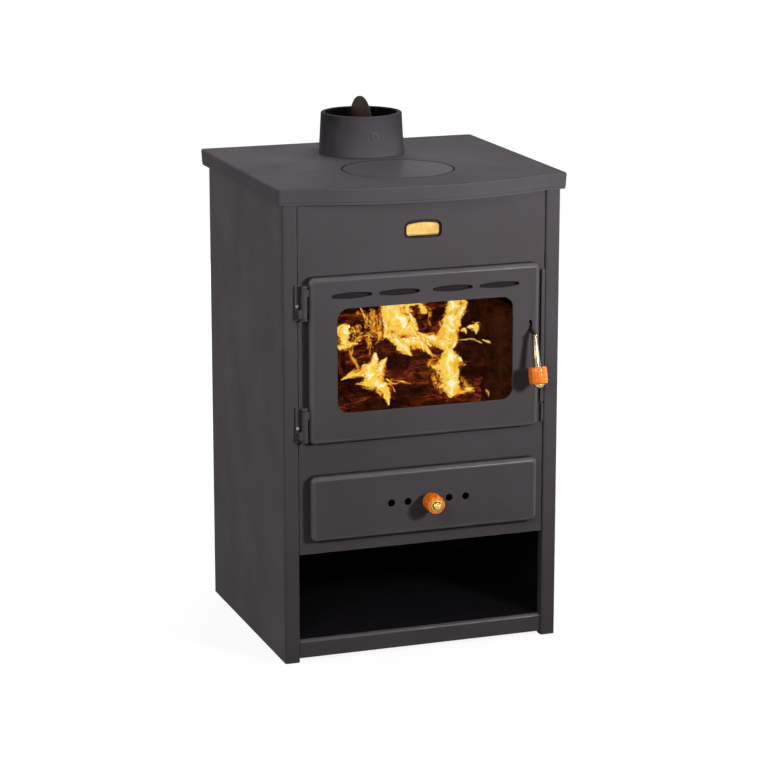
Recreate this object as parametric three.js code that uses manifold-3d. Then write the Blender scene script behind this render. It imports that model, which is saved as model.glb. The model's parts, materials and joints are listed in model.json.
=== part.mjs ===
// A free-standing steel cookstove: wood store below, ash drawer, glazed fire door, cast cooking top with a round
// lid, and a flue collar with a damper.
// Millimetres. +X is right, +Y runs to the back, +Z is up, and the floor is z = 0.
import * as THREE from "three";
import { mergeVertices, toCreasedNormals } from "three/addons/utils/BufferGeometryUtils.js";
import Module from "manifold-3d";

const wasm = await Module();
wasm.setup();

// Fits that every piece shares
const seat = 0.3; // between pieces that touch or turn on each other
const overrun = 5; // how far a cutter passes the face it cuts
const weld = 0.0005; // vertices closer than this are one

// Fineness of round shapes, in counts
const cornerSteps = 3;
const bendSteps = 2;
const smallRound = 12;
const mediumRound = 20;
const largeRound = 32;

// Outer body
const bodyWidth = 412;
const bodyDepth = 360;
const bodyHeight = 676; // floor to the underside of the cooking top
const skin = 1.5;
const bendRadius = 2;
const postWidth = 22; // front face of each side panel's folded post
const postReturn = 14;
const rearFlange = 18;
const backScrewRadius = 2;
const backScrewHead = 4;
const backScrewHeight = 2.2;
const backScrewRows = 3;
const backScrewMargin = 60; // from the floor and the top to the outer screws

// Front panel, recessed between the posts
const panelSheet = 2;
const panelRecess = 2.5;
const panelSideGap = 0.8;
const panelFlange = 14;
const storeTop = 158.5; // top of the wood-store opening

// Wood-store floor pan
const storeFloor = 32;
const lipBottom = 5;
const lipRecess = 4;
const lipSideGap = 1.5;
const lipBend = 4;
const deckFlange = 15; // flanges that stiffen the pan and the ash deck

// Firebox
const fireboxWall = 3;
const fireboxStep = 2.9; // from the side of the door opening to the firebox wall
const fireboxRear = 30; // from the body's back to the firebox's back wall
const hearthDrop = 31; // below the door's lower edge
const hearthThickness = 4;
const ledgeWidth = 9;
const ledgeThickness = 5;
const linerThickness = 25;
const linerDrop = 78; // from the door's upper edge to the top of the bricks
const linerSetback = 34; // from the front panel to the side liners
const linerChamfer = 2;
const grateSideGap = 36; // from the side liners
const grateEndGap = 75.6; // from the ends of the hearth
const grateRim = 5; // how far the grate's rim laps the hearth
const grateThickness = 8;
const grateDrop = 7;
const grateBars = 11;
const grateSlotShare = 0.5233; // of the bars' pitch
const grateSlotMargin = 16;
const guardSideGap = 21; // from the firebox walls
const guardHeight = 46;
const guardThickness = 8;
const guardSetback = 12; // behind the front panel
const guardSlots = 9;
const guardSlotWidth = 9;
const guardSlotMargin = 10;
const baffleThickness = 5;
const smokeGap = 90.2; // left open in front of the baffle
const baffleTilt = THREE.MathUtils.degToRad(13);
const pegRadius = 4;
const pegLength = 12;
const pegFromFront = 20;

// Cooking top
const topThickness = 6;
const skirtDrop = 17; // below the top's underside
const skirtThickness = 4.5;
const skirtFlare = 1.5; // outward, from top to bottom
const sideOverhang = 8.2;
const frontOverhang = 5.5;
const rearOverhang = 14.9;
const topCorner = 6;
const topEdgeRound = 2.2;
const bowDepth = 37;
const bowEnds = 31.2; // straight ends of the front edge
const bowSoftness = 6; // rounds the two inward kinks where the bow starts
const bowSamples = 28;

// Cooking lid
const lidFrontMargin = 26; // from the body's front to the lid
const lidCollarGap = 16.5; // from the lid to the flue collar
const lidThickness = 5.5;
const lidGap = 0.9;
const lidLedge = 6; // how far the ledge reaches under the lid
const lidRing = 7; // the ledge ring's wall outside the lid
const lidLedgeDrop = 6;
const lidEdgeRound = 0.6;

// Flue collar and damper
const collarFromRear = 95; // from the body's back to the collar's middle
const collarHeight = 60;
const collarBaseRadius = 62.5;
const collarTopRadius = 59.4;
const collarBore = 53; // radius
const collarRimRound = 1.6;
const spigotWall = 4;
const spigotDrop = 10;
const axleHeight = 31; // above the cooking top
const axleRadius = 4;
const axleBoss = 6.5;
const axleBossProud = 1;
const damperRadius = 51.5;
const damperThickness = 3;
const damperTube = 7;
const leverReach = 15; // the axle's run behind the collar
const leverBend = 8;
const leverRise = 24;

// Nameplate
const plateWidth = 48;
const plateHeight = 15.5;
const plateArch = 3;
const plateCorner = 4;
const plateThickness = 2;
const plateBevel = 0.5;
const plateDrop = 63.5; // from the body's top to the plate's middle
const pocketMargin = 4;
const pocketDepth = 3;

// Fire door
const doorSideMargin = 12.2; // of the front panel beside the door
const doorTopMargin = 119; // from the body's top to the door
const doorDrawerGap = 46.5;
const doorProud = 12; // in front of the posts
const doorRimGap = 0.5; // from the door's rim to the front panel
const doorCorner = 8;
const doorRound = 7; // soft edge round the door's face
const leafSkin = 3;
const sealWidth = 6;
const sealGap = 0.2;
const sealRib = 1.5;
const windowSideFrame = 40.25; // of the door's face beside the window
const windowTopFrame = 45.5;
const windowBottomFrame = 42.5;
const windowCorner = 17;
const slotHeight = 9;
const slotTip = 4; // height of a lens slot's rounded ends
const slotEndMargin = 32; // from the door's sides to the outer slots
const slotPairGap = 11; // between an outer slot and its neighbour
const slotMiddleGap = 20; // between the inner slots
const slotGlassGap = 1; // from the glass up to the plate behind the slots
const slotShadeGap = 4; // from the leaf's skin to the plate behind the slots
const slotShadeThickness = 1.5;
const slotShadeHeight = 14;
const glassLap = 10; // how far the glass passes the window
const glassThickness = 4;
const gasketThickness = 1.6;
const gasketInset = 1.5;
const clipWidth = 14;
const clipThickness = 1.5;
const clipFoot = 9;
const clipLap = 7;
const clipOffsetShare = 0.349; // of the window's height, from its middle to each clip
const clipBend = 1.4;
const clipScrewRadius = 2.8;
const clipScrewHeight = 1.6;

// Hinges
const barrelRadius = 4.5;
const barrelDoorGap = 2; // from the door's side to a barrel
const bracketThickness = 2.5;
const bracketWidth = 8;
const bracketReach = 12; // from the hinge axis to the bracket's far edge
const webHeight = 12; // of the web that joins bracket and frame knuckle
const upperBarrelDrop = 60; // from the door's upper edge to the upper barrel's foot
const lowerBarrelRise = 3.5; // from the door's lower edge to the lower barrel's foot
const pinRadius = 2.4;
const pinFoot = 3.5;
const frameKnuckle = 18.5;
const doorKnuckle = 22.5;
const pinHead = 4.5;
const lugHeight = 11;
const lugThickness = 4.6;
const boltHeadRadius = 3.2;
const boltHeadHeight = 2.4;
const boltRadius = 2;
const boltLength = 6;
const boltRise = 20.5; // above the barrel's lower end

// Half-round bars beside the door
const railWidth = 5.6;
const railProud = 4;
const railPostGap = 0.7; // from the right post
const railTopDrop = 12; // below the door's upper edge
const railJointRise = 31; // above the door's lower edge
const railBottomRise = 2; // above the door's lower edge
const railGap = 1.2;
const stopWidth = 4;
const railRound = 1.6;

// Door latch and handle
const leverSideGap = 0.6; // from the lever to the side of the door opening
const leverThickness = 4;
const leverDepth = 5; // height of the lever's bar
const leverPivotDepth = 7.5; // behind the door's face
const pivotRise = 30; // from the window's middle to the lever's pivot
const leverPinRadius = 2;
const leverBossRadius = 3.5;
const leverKnee = { out: 23.5, down: 11 };
const fingerReach = 16.5;
const fingerRise = 1;
const leverSlotWidth = 5;
const leverSlotBelow = 7.5; // from the lever's pivot to the slot's lower end
const leverSlotAbove = 8.5;
const pivotCheek = 5;
const pivotCheekHeight = 12;
const keeperReach = 8; // of the shelf over the lever's finger, from the firebox wall
const keeperThickness = 3;
const keeperDepth = 12;
const keeperHeight = 26;
const rodLean = THREE.MathUtils.degToRad(14);
const rodLength = 44;
const rodTopRadius = 3.2;
const rodFootRadius = 4.1;
const rodCollarRadius = 5;
const rodCollarLength = 4;
const studRadius = 2.5;

// Amber grip and its dome nut, the same on the handle and on the air control
const gripRadius = 14;
const gripEndRadius = 12.6;
const gripLength = 24;
const gripGroove = 0.7;
const gripGrooveWidth = 2;
const nutRadius = 7;
const nutSkirt = 2.5;

// Ash drawer
const drawerSideMargin = 13.2; // of the front panel beside the drawer
const drawerHeight = 94;
const drawerStoreGap = 21; // above the wood store's opening
const drawerProud = 14;
const drawerSkin = 2;
const drawerCorner = 8;
const panSideMargin = 20; // from the sides of the drawer's front
const panRearGap = 114.4; // from the back panel
const panRise = 13.5; // above the lower edge of the drawer's front
const panHeight = 48;
const panFrontHeight = 24;
const panWall = 1.5;
const panCorner = 4;
const drawerOpeningGap = 6; // round the pan, in the front panel
const runnerWidth = 18;
const runnerSheet = 2;
const runnerOverhang = 22; // by which a runner is longer than the pan

// Air control in the drawer
const airX = 4; // the holes' middle
const airHoleRadius = 5.3;
const airHoleOffsets = [-56, -31, 31, 56];
const airTravel = 12.5;
const slideWidth = 150;
const slideHeight = 24;
const slideThickness = 1.5;
const guideHeight = 5;
const guideLip = 1.5;
const knobStandoff = 8; // from the drawer's face to the grip
const stemCollarRadius = 5;

// Places worked out from the sizes above
const front = -bodyDepth / 2;
const back = bodyDepth / 2;
const left = -bodyWidth / 2;
const right = bodyWidth / 2;
const panelFace = front + panelRecess;
const panelBack = panelFace + panelSheet;
const panelWidth = bodyWidth - 2 * (postWidth + panelSideGap);
const panelTop = bodyHeight - seat;
const backPanelFront = back - skin - seat - skin;
const sideInner = bodyWidth / 2 - skin;
const deckBottom = storeTop + panelSheet + seat;
const deckTop = deckBottom + panelSheet;
const topSurface = bodyHeight + topThickness;
const bowChord = bodyWidth + 2 * (sideOverhang - bowEnds);
const collarY = back - collarFromRear;
const lidRadius = (collarY - collarBaseRadius - lidCollarGap - front - lidFrontMargin) / 2;
const lidY = front + lidFrontMargin + lidRadius;
const plateMiddle = bodyHeight - plateDrop;
const drawerWidth = panelWidth - 2 * drawerSideMargin;
const drawerBottom = storeTop + drawerStoreGap;
const drawerMiddle = drawerBottom + drawerHeight / 2;
const drawerFace = front - drawerProud;
const drawerDepth = panelFace - doorRimGap - drawerFace;
const panWidth = drawerWidth - 2 * panSideMargin;
const panDepth = backPanelFront - panRearGap - drawerFace - drawerDepth - seat;
const panBottom = drawerBottom + panRise;
const doorWidth = panelWidth - 2 * doorSideMargin;
const doorBottom = drawerBottom + drawerHeight + doorDrawerGap;
const doorTop = bodyHeight - doorTopMargin;
const doorHeight = doorTop - doorBottom;
const doorMiddle = doorBottom + doorHeight / 2;
const doorFace = front - doorProud;
const doorDepth = panelFace - doorRimGap - doorFace;
const windowWidth = doorWidth - 2 * windowSideFrame;
const windowHeight = doorHeight - windowTopFrame - windowBottomFrame;
const windowMiddle = doorBottom + windowBottomFrame + windowHeight / 2;
const slotLength = (doorWidth - slotMiddleGap) / 4 - (slotEndMargin + slotPairGap) / 2;
const slotInner = (slotMiddleGap + slotLength) / 2;
const slotOuter = slotInner + slotLength + slotPairGap;
const slotOffsets = [-slotOuter, -slotInner, slotInner, slotOuter];
const slotMiddle = doorTop - windowTopFrame + glassLap + slotGlassGap + slotShadeHeight / 2;
const sealOuter = { width: doorWidth - 2 * leafSkin, height: doorHeight - 2 * leafSkin };
const sealRibOuter = {
  width: sealOuter.width - 2 * (sealWidth + 2 * sealGap),
  height: sealOuter.height - 2 * (sealWidth + 2 * sealGap),
};
const doorOpening = { width: sealRibOuter.width - 2 * sealRib, height: sealRibOuter.height - 2 * sealRib };
const fireboxFront = panelBack + seat;
const fireboxBack = back - fireboxRear; // inner face of the back wall
const fireboxWidth = doorOpening.width + 2 * fireboxStep; // between the walls
const hearthTop = doorBottom - hearthDrop;
const linerHeight = doorTop - linerDrop - hearthTop;
const grateWidth = fireboxWidth - 2 * (linerThickness + grateSideGap);
const grateDepth = fireboxBack - fireboxFront - 2 * grateEndGap;
const guardWidth = fireboxWidth - 2 * guardSideGap;
const baffleLength = fireboxBack - fireboxFront - smokeGap;
const leverX = doorOpening.width / 2 - leverSideGap - leverThickness / 2;
const leverPivotHeight = windowMiddle + pivotRise;
const railEdge = right - postWidth - railPostGap;
const railJoint = doorBottom + railJointRise;
const railTop = doorTop - railTopDrop;
const railBottom = doorBottom + railBottomRise;
const barrelHeights = { upper: doorTop - upperBarrelDrop, lower: doorBottom + lowerBarrelRise };
const hingeX = -doorWidth / 2 - barrelDoorGap - barrelRadius;
const hingeY = front - seat - bracketThickness - seat - barrelRadius;
const glassFront = leafSkin + seat + gasketThickness + seat; // behind the door's face
const glassBack = glassFront + glassThickness;

// Paint and metals
const finish = (color, metalness, roughness, more = {}) =>
  new THREE.MeshStandardMaterial({ color, metalness, roughness, ...more });
const paint = finish(0x4b4749, 0.25, 0.55);
const castPaint = finish(0x545054, 0.25, 0.6);
const sheetSteel = finish(0x3b3839, 0.4, 0.6);
const castIron = finish(0x2e2b2a, 0.5, 0.75);
const brick = finish(0x9a8468, 0, 0.95);
const brass = finish(0xd9b556, 0.95, 0.25);
const steel = finish(0xa6a3a0, 0.9, 0.35);
const amber = finish(0xc8601a, 0, 0.2);
const rope = finish(0x4d4a46, 0, 0.95);
const glazing = finish(0x1a1410, 0, 0.05, { transparent: true, opacity: 0.35 });

// Solids: a geometry becomes a manifold to be joined or cut, and comes back as a geometry.
function solid(geometry) {
  const bare = new THREE.BufferGeometry();
  bare.setAttribute("position", geometry.getAttribute("position"));
  bare.setIndex(geometry.index);
  const merged = mergeVertices(bare, weld);
  return new wasm.Manifold(
    new wasm.Mesh({
      numProp: 3,
      vertProperties: merged.getAttribute("position").array,
      triVerts: new Uint32Array(merged.index.array),
    }),
  );
}

function geometryOf(manifold) {
  const mesh = manifold.getMesh();
  const geometry = new THREE.BufferGeometry();
  geometry.setAttribute("position", new THREE.BufferAttribute(mesh.vertProperties, mesh.numProp));
  geometry.setIndex(new THREE.BufferAttribute(mesh.triVerts, 1));
  return geometry;
}

const join = (...parts) => geometryOf(parts.map(solid).reduce((whole, part) => whole.add(part)));
const cut = (body, ...tools) =>
  geometryOf(tools.map(solid).reduce((rest, tool) => rest.subtract(tool), solid(body)));

// Outlines: lists of points, counter-clockwise.
const point = (x, y) => new THREE.Vector2(x, y);
const point3 = (x, y, z) => new THREE.Vector3(x, y, z);

function arc(x, y, radius, start, sweep, steps) {
  return Array.from({ length: steps + 1 }, (_, i) => {
    const angle = start + (sweep * i) / steps;
    return point(x + radius * Math.cos(angle), y + radius * Math.sin(angle));
  });
}

const circle = (x, y, radius, steps = mediumRound) =>
  arc(x, y, radius, 0, 2 * Math.PI, steps).slice(0, steps);

function roundedRectangle(width, height, radius, x = 0, y = 0) {
  const across = width / 2 - radius;
  const up = height / 2 - radius;
  const corner = (sx, sy, turn) =>
    arc(x + sx * across, y + sy * up, radius, (turn * Math.PI) / 2, Math.PI / 2, cornerSteps);
  return [...corner(1, 1, 0), ...corner(-1, 1, 1), ...corner(-1, -1, 2), ...corner(1, -1, 3)];
}

// The outline of a sheet folded along a path: its middle line is rounded at each fold, then thickened both ways.
function foldedSheet(path, thickness, insideBend) {
  const bend = insideBend + thickness / 2;
  const line = [];
  const leftOf = (d) => point(-d.y, d.x);
  path.forEach((corner, i) => {
    const into = i > 0 ? corner.clone().sub(path[i - 1]).normalize() : null;
    const out = i < path.length - 1 ? path[i + 1].clone().sub(corner).normalize() : null;
    if (!into || !out) {
      line.push({ at: corner, normal: leftOf(into || out) });
      return;
    }
    const angle = Math.atan2(into.cross(out), into.dot(out));
    const side = Math.sign(angle);
    const start = corner.clone().addScaledVector(into, -bend * Math.tan(Math.abs(angle) / 2));
    const centre = start.clone().addScaledVector(leftOf(into), side * bend);
    for (let k = 0; k <= bendSteps; k += 1) {
      const normal = leftOf(into).rotateAround(point(0, 0), (angle * k) / bendSteps);
      line.push({ at: centre.clone().addScaledVector(normal, -side * bend), normal });
    }
  });
  const shifted = (half) => line.map(({ at, normal }) => at.clone().addScaledVector(normal, half));
  return [...shifted(-thickness / 2), ...shifted(thickness / 2).reverse()];
}

// Moves every side of a closed outline inwards by the same distance.
function inset(outline, distance) {
  const outward = (a, b) => point(b.y - a.y, a.x - b.x).normalize();
  return outline.map((p, i) => {
    const before = outline[(i + outline.length - 1) % outline.length];
    const after = outline[(i + 1) % outline.length];
    const mitre = outward(before, p).add(outward(p, after));
    return p.clone().addScaledVector(mitre, (-2 * distance) / mitre.lengthSq());
  });
}

// Solids from outlines. A prism rises along +Z; upright() turns it so that its outline is (x, z) and it runs to +Y;
// crosswise() turns it so that its outline is (y, z) and it is centred along X.
function prism(outline, height, holes = []) {
  const shape = new THREE.Shape(outline);
  shape.holes = holes.map((hole) => new THREE.Path(hole));
  return new THREE.ExtrudeGeometry(shape, { depth: height, bevelEnabled: false });
}

const stand = (geometry, depth) => geometry.rotateX(Math.PI / 2).translate(0, depth, 0);
const upright = (outline, depth, holes = []) => stand(prism(outline, depth, holes), depth);

function crosswise(outline, width, holes = []) {
  const axes = [point3(0, 1, 0), point3(0, 0, 1), point3(1, 0, 0)];
  const turned = prism(outline, width, holes).applyMatrix4(new THREE.Matrix4().makeBasis(...axes));
  return turned.translate(-width / 2, 0, 0);
}

// A rounded rectangle and any other outline as functions of how far they are inset.
const oblong = (width, height, radius) => (margin) =>
  roundedRectangle(width - 2 * margin, height - 2 * margin, radius - margin);
const insetOf = (outline) => (margin) => inset(outline, margin);

// Layers of one outline, each inset by its own amount at its own height, closed below and above.
function layered(outlineAt, layers) {
  const rings = layers.map((layer) => outlineAt(layer.inset));
  const count = rings[0].length;
  const positions = rings.flatMap((ring, k) => ring.flatMap((p) => [p.x, p.y, layers[k].height]));
  const index = [];
  for (let k = 0; k < rings.length - 1; k += 1) {
    for (let i = 0; i < count; i += 1) {
      const a = k * count + i;
      const b = k * count + ((i + 1) % count);
      index.push(a, b, b + count, a, b + count, a + count);
    }
  }
  const lid = (rings.length - 1) * count;
  THREE.ShapeUtils.triangulateShape(rings[0], []).forEach(([a, b, c]) => index.push(c, b, a));
  THREE.ShapeUtils.triangulateShape(rings[rings.length - 1], []).forEach(([a, b, c]) =>
    index.push(lid + a, lid + b, lid + c),
  );
  const geometry = new THREE.BufferGeometry();
  geometry.setAttribute("position", new THREE.Float32BufferAttribute(positions, 3));
  geometry.setIndex(index);
  return geometry;
}

// Layers that run straight up and end in a quarter round of the given radius.
function roundedTop(height, radius, steps = cornerSteps) {
  const rounding = Array.from({ length: steps + 1 }, (_, i) => {
    const angle = (i / steps) * (Math.PI / 2);
    return { inset: radius * (1 - Math.cos(angle)), height: height - radius + radius * Math.sin(angle) };
  });
  return [{ inset: 0, height: 0 }, ...rounding];
}

// A profile of [radius, height] pairs turned round the Z axis. It runs counter-clockwise.
function revolve(profile, steps = mediumRound) {
  const points = profile.map(([radius, height]) => point(radius, height));
  return new THREE.LatheGeometry(points, steps).rotateX(Math.PI / 2);
}

function block(width, depth, height, x = 0, y = 0, z = 0) {
  return new THREE.BoxGeometry(width, depth, height).translate(x, y, z);
}

// A block given by its two corners.
function span(x0, x1, y0, y1, z0, z1) {
  return block(x1 - x0, y1 - y0, z1 - z0, (x0 + x1) / 2, (y0 + y1) / 2, (z0 + z1) / 2);
}

const axisTurns = {
  x: (geometry) => geometry.rotateZ(-Math.PI / 2),
  y: (geometry) => geometry,
  z: (geometry) => geometry.rotateX(Math.PI / 2),
};

// A round bar centred on a point, along the named axis.
function bar(axis, radius, length, x = 0, y = 0, z = 0, steps = smallRound) {
  const turned = axisTurns[axis](new THREE.CylinderGeometry(radius, radius, length, steps));
  return turned.translate(x, y, z);
}

// A round headed fastener: a domed head outside z = 0 and a shank below it.
function fastener(headRadius, headHeight, radius, length) {
  const dome = arc(0, 0, 1, 0, Math.PI / 2, cornerSteps).map((p) => [p.x * headRadius, p.y * headHeight]);
  return revolve([[0, -length], [radius, -length], [radius, 0], ...dome.slice(0, -1), [0, headHeight]], smallRound);
}

// Tree: groups for what moves together, and one named mesh for each piece.
function group(parent, x = 0, y = 0, z = 0) {
  const made = new THREE.Group();
  made.position.set(x, y, z);
  parent.add(made);
  return made;
}

function piece(parent, name, geometry, material, x = 0, y = 0, z = 0) {
  const shaded = toCreasedNormals(geometry.index ? geometry.toNonIndexed() : geometry, Math.PI / 6);
  const mesh = new THREE.Mesh(shaded, material);
  mesh.name = name;
  mesh.position.set(x, y, z);
  parent.add(mesh);
  return mesh;
}

// Body shell

const backScrewHeights = Array.from({ length: backScrewRows }, (_, i) => {
  const rise = (bodyHeight - 2 * backScrewMargin) / (backScrewRows - 1);
  return backScrewMargin + i * rise;
});
const backScrewX = bodyWidth / 2 - rearFlange / 2 - skin;

function sidePanel(side) {
  const wall = bodyWidth / 2 - skin / 2;
  const post = bodyWidth / 2 - postWidth + skin / 2;
  const path = [
    [post, front + postReturn],
    [post, front + skin / 2],
    [wall, front + skin / 2],
    [wall, back - skin / 2],
    [bodyWidth / 2 - rearFlange, back - skin / 2],
  ].map(([x, y]) => point(side * x, y));
  const holes = backScrewHeights.map((z) =>
    bar("y", backScrewRadius + seat, 2 * overrun, side * backScrewX, back, z),
  );
  if (side < 0) {
    Object.values(barrelHeights).forEach((z) =>
      holes.push(bar("y", boltRadius + seat, 2 * overrun, boltX, front, z + boltRise)),
    );
  }
  return cut(prism(foldedSheet(path, skin, bendRadius), bodyHeight - seat), ...holes);
}

const boltX = hingeX - bracketReach + boltHeadRadius + seat;

function backPanel() {
  const reach = sideInner - bendRadius - seat;
  const sheet = span(-reach, reach, backPanelFront, backPanelFront + skin, lipBottom, panelTop);
  const shank = skin + 2 * seat + skin;
  const screws = [-1, 1].flatMap((side) =>
    backScrewHeights.map((z) =>
      fastener(backScrewHead, backScrewHeight, backScrewRadius, shank)
        .rotateX(-Math.PI / 2)
        .translate(side * backScrewX, back + seat, z),
    ),
  );
  return join(sheet, ...screws);
}

// A level sheet with its sides folded down, its upper face at z = 0, from one y to another.
function flangedSheet(y0, y1, insideBend) {
  const reach = sideInner - seat - panelSheet / 2;
  const level = -panelSheet / 2;
  const path = [
    point(reach, -deckFlange),
    point(reach, level),
    point(-reach, level),
    point(-reach, -deckFlange),
  ];
  return upright(foldedSheet(path, panelSheet, insideBend), y1 - y0).translate(0, y0, 0);
}

function basePan() {
  const y0 = front + lipRecess + panelSheet / 2;
  const y1 = backPanelFront - seat - panelSheet / 2;
  const level = storeFloor - panelSheet / 2;
  const path = [point(y0, lipBottom), point(y0, level), point(y1, level), point(y1, lipBottom)];
  const lipWidth = bodyWidth - 2 * (postWidth + lipSideGap);
  const wings = flangedSheet(front + postReturn + seat, y1 - lipBend, bendRadius);
  return join(
    crosswise(foldedSheet(path, panelSheet, lipBend), lipWidth),
    wings.translate(0, 0, storeFloor),
  );
}

function ashDeck() {
  const tongue = panelWidth - 2 * (panelSheet + seat);
  const tongueFront = panelBack + seat;
  const wingFront = Math.max(panelFace + panelFlange, front + postReturn) + seat;
  const tongueDepth = wingFront - tongueFront + deckFlange;
  const lip = block(tongue, tongueDepth, panelSheet, 0, tongueFront + tongueDepth / 2, -panelSheet / 2);
  return join(flangedSheet(wingFront, backPanelFront - seat, bendRadius), lip);
}

// The nameplate's outline: a rounded oblong whose upper side is arched.
function plateOutline(margin) {
  const width = plateWidth + 2 * margin;
  const height = plateHeight + 2 * margin;
  const flat = roundedRectangle(width, height, plateCorner + margin);
  const upper = Array.from({ length: cornerSteps - 1 }, (_, i) => {
    const across = (width / 2 - plateCorner - margin) * (1 - (2 * (i + 1)) / cornerSteps);
    return point(across, height / 2);
  });
  flat.splice(cornerSteps + 1, 0, ...upper);
  return flat.map((p) => {
    const rise = p.y > 0 ? plateArch * (1 - (2 * p.x) ** 2 / width ** 2) : 0;
    return point(p.x, p.y + rise);
  });
}

function frontPanel() {
  const height = panelTop - storeTop;
  const middle = (panelTop + storeTop) / 2;
  const tray = block(panelWidth, panelFlange, height, 0, panelFlange / 2, middle);
  const hollow = block(
    panelWidth - 2 * panelSheet,
    panelFlange,
    height - 2 * panelSheet,
    0,
    panelFlange / 2 + panelSheet,
    middle,
  );
  const through = panelSheet + 2 * overrun;
  const opening = (outline) => upright(outline, through).translate(0, -overrun, 0);
  const doorHole = roundedRectangle(doorOpening.width, doorOpening.height, doorCorner, 0, doorMiddle);
  const drawerHole = roundedRectangle(
    panWidth + 2 * drawerOpeningGap,
    panHeight + 2 * drawerOpeningGap + guideHeight,
    panCorner,
    0,
    panBottom + panHeight / 2 + guideHeight / 2,
  );
  const cup = upright(plateOutline(pocketMargin + panelSheet), pocketDepth + panelSheet);
  const pocket = upright(plateOutline(pocketMargin), pocketDepth + overrun);
  return cut(
    join(cut(tray, hollow), cup.translate(0, 0, plateMiddle)),
    opening(doorHole),
    opening(drawerHole),
    pocket.translate(0, -overrun, plateMiddle),
  );
}

function namePlate() {
  const layers = [
    { inset: 0, height: 0 },
    { inset: 0, height: plateThickness - plateBevel },
    { inset: plateBevel, height: plateThickness },
  ];
  return layered(insetOf(plateOutline(0)), layers).rotateX(Math.PI / 2);
}

// Firebox

const bafflePivot = {
  y: fireboxBack - seat - baffleThickness * Math.sin(baffleTilt),
  z: hearthTop + seat + linerHeight + seat,
};

// A point on the baffle's underside, so far from its rear edge, moved down square to the plate.
function underBaffle(distance, below) {
  const sine = Math.sin(baffleTilt);
  const cosine = Math.cos(baffleTilt);
  return {
    y: bafflePivot.y - distance * cosine - below * sine,
    z: bafflePivot.z + distance * sine - below * cosine,
  };
}

function fireboxShell() {
  const half = fireboxWidth / 2 + fireboxWall / 2;
  const rear = fireboxBack + fireboxWall / 2;
  const path = [
    point(half, fireboxFront),
    point(half, rear),
    point(-half, rear),
    point(-half, fireboxFront),
  ];
  const bottom = deckTop + seat;
  const height = panelTop - panelSheet - seat - bottom;
  const shell = prism(foldedSheet(path, fireboxWall, bendRadius), height);
  shell.translate(0, 0, bottom);
  const ledgeTop = hearthTop - hearthThickness - seat;
  const inner = fireboxWidth / 2;
  const peg = underBaffle(baffleLength - pegFromFront, pegRadius + seat);
  const extras = [-1, 1].flatMap((side) => [
    block(
      ledgeWidth + fireboxWall / 2,
      fireboxBack - fireboxFront,
      ledgeThickness,
      side * (inner - ledgeWidth / 2 + fireboxWall / 4),
      (fireboxFront + fireboxBack) / 2,
      ledgeTop - ledgeThickness / 2,
    ),
    bar("x", pegRadius, pegLength + fireboxWall, side * (inner - pegLength / 2 + fireboxWall / 2), peg.y, peg.z),
  ]);
  return join(shell, ...extras);
}

function hearthPlate() {
  const width = fireboxWidth - 2 * seat;
  const depth = fireboxBack - fireboxFront - seat;
  const outline = roundedRectangle(width, depth, bendRadius);
  const hole = roundedRectangle(grateWidth - 2 * grateRim, grateDepth - 2 * grateRim, bendRadius);
  return prism(outline, hearthThickness, [hole]);
}

const hearthMiddle = (fireboxFront + fireboxBack - seat) / 2;

function grate() {
  const inner = grateRim + seat;
  const rim = prism(roundedRectangle(grateWidth, grateDepth, bendRadius), grateThickness);
  const drop = prism(
    roundedRectangle(grateWidth - 2 * inner, grateDepth - 2 * inner, bendRadius),
    grateDrop + grateThickness,
  ).translate(0, 0, -grateDrop);
  const pitch = (grateWidth - 2 * grateSlotMargin) / (grateBars - 1);
  const slot = grateSlotShare * pitch;
  const slots = Array.from({ length: grateBars }, (_, i) => {
    const x = (i - (grateBars - 1) / 2) * pitch;
    const outline = roundedRectangle(slot, grateDepth - 2 * grateSlotMargin, slot / 2, x, 0);
    return prism(outline, grateDrop + grateThickness + 2 * overrun).translate(0, 0, -grateDrop - overrun);
  });
  return cut(join(rim, drop), ...slots);
}

// A firebrick slab: chamfered outline, lying flat with its face up.
function slab(width, height) {
  const layers = [
    { inset: linerChamfer, height: 0 },
    { inset: 0, height: linerChamfer },
    { inset: 0, height: linerThickness - linerChamfer },
    { inset: linerChamfer, height: linerThickness },
  ];
  return layered(oblong(width, height, 2 * linerChamfer), layers);
}

function logGuard() {
  const outline = roundedRectangle(guardWidth, guardHeight, guardSlotMargin / 2, 0, guardHeight / 2);
  const pitch = (guardWidth - 2 * guardSlotMargin - guardSlotWidth) / (guardSlots - 1);
  const slots = Array.from({ length: guardSlots }, (_, i) =>
    roundedRectangle(
      guardSlotWidth,
      guardHeight - 2 * guardSlotMargin,
      guardSlotWidth / 2,
      (i - (guardSlots - 1) / 2) * pitch,
      guardHeight / 2,
    ),
  );
  return upright(outline, guardThickness, slots);
}

function smokeBaffle() {
  const width = fireboxWidth - 4 * seat;
  const plate = roundedRectangle(width, baffleLength, linerChamfer * 2, 0, -baffleLength / 2);
  return prism(plate, baffleThickness);
}

// Cooking top

// How far the front edge swells in front of its straight ends, at a distance from the middle.
function bow(x) {
  const radius = (bowChord ** 2 / 4 + bowDepth ** 2) / (2 * bowDepth);
  const rise = Math.sqrt(radius ** 2 - x ** 2) - radius + bowDepth;
  return (rise + Math.sqrt(rise ** 2 + bowSoftness ** 2)) / 2;
}

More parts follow.
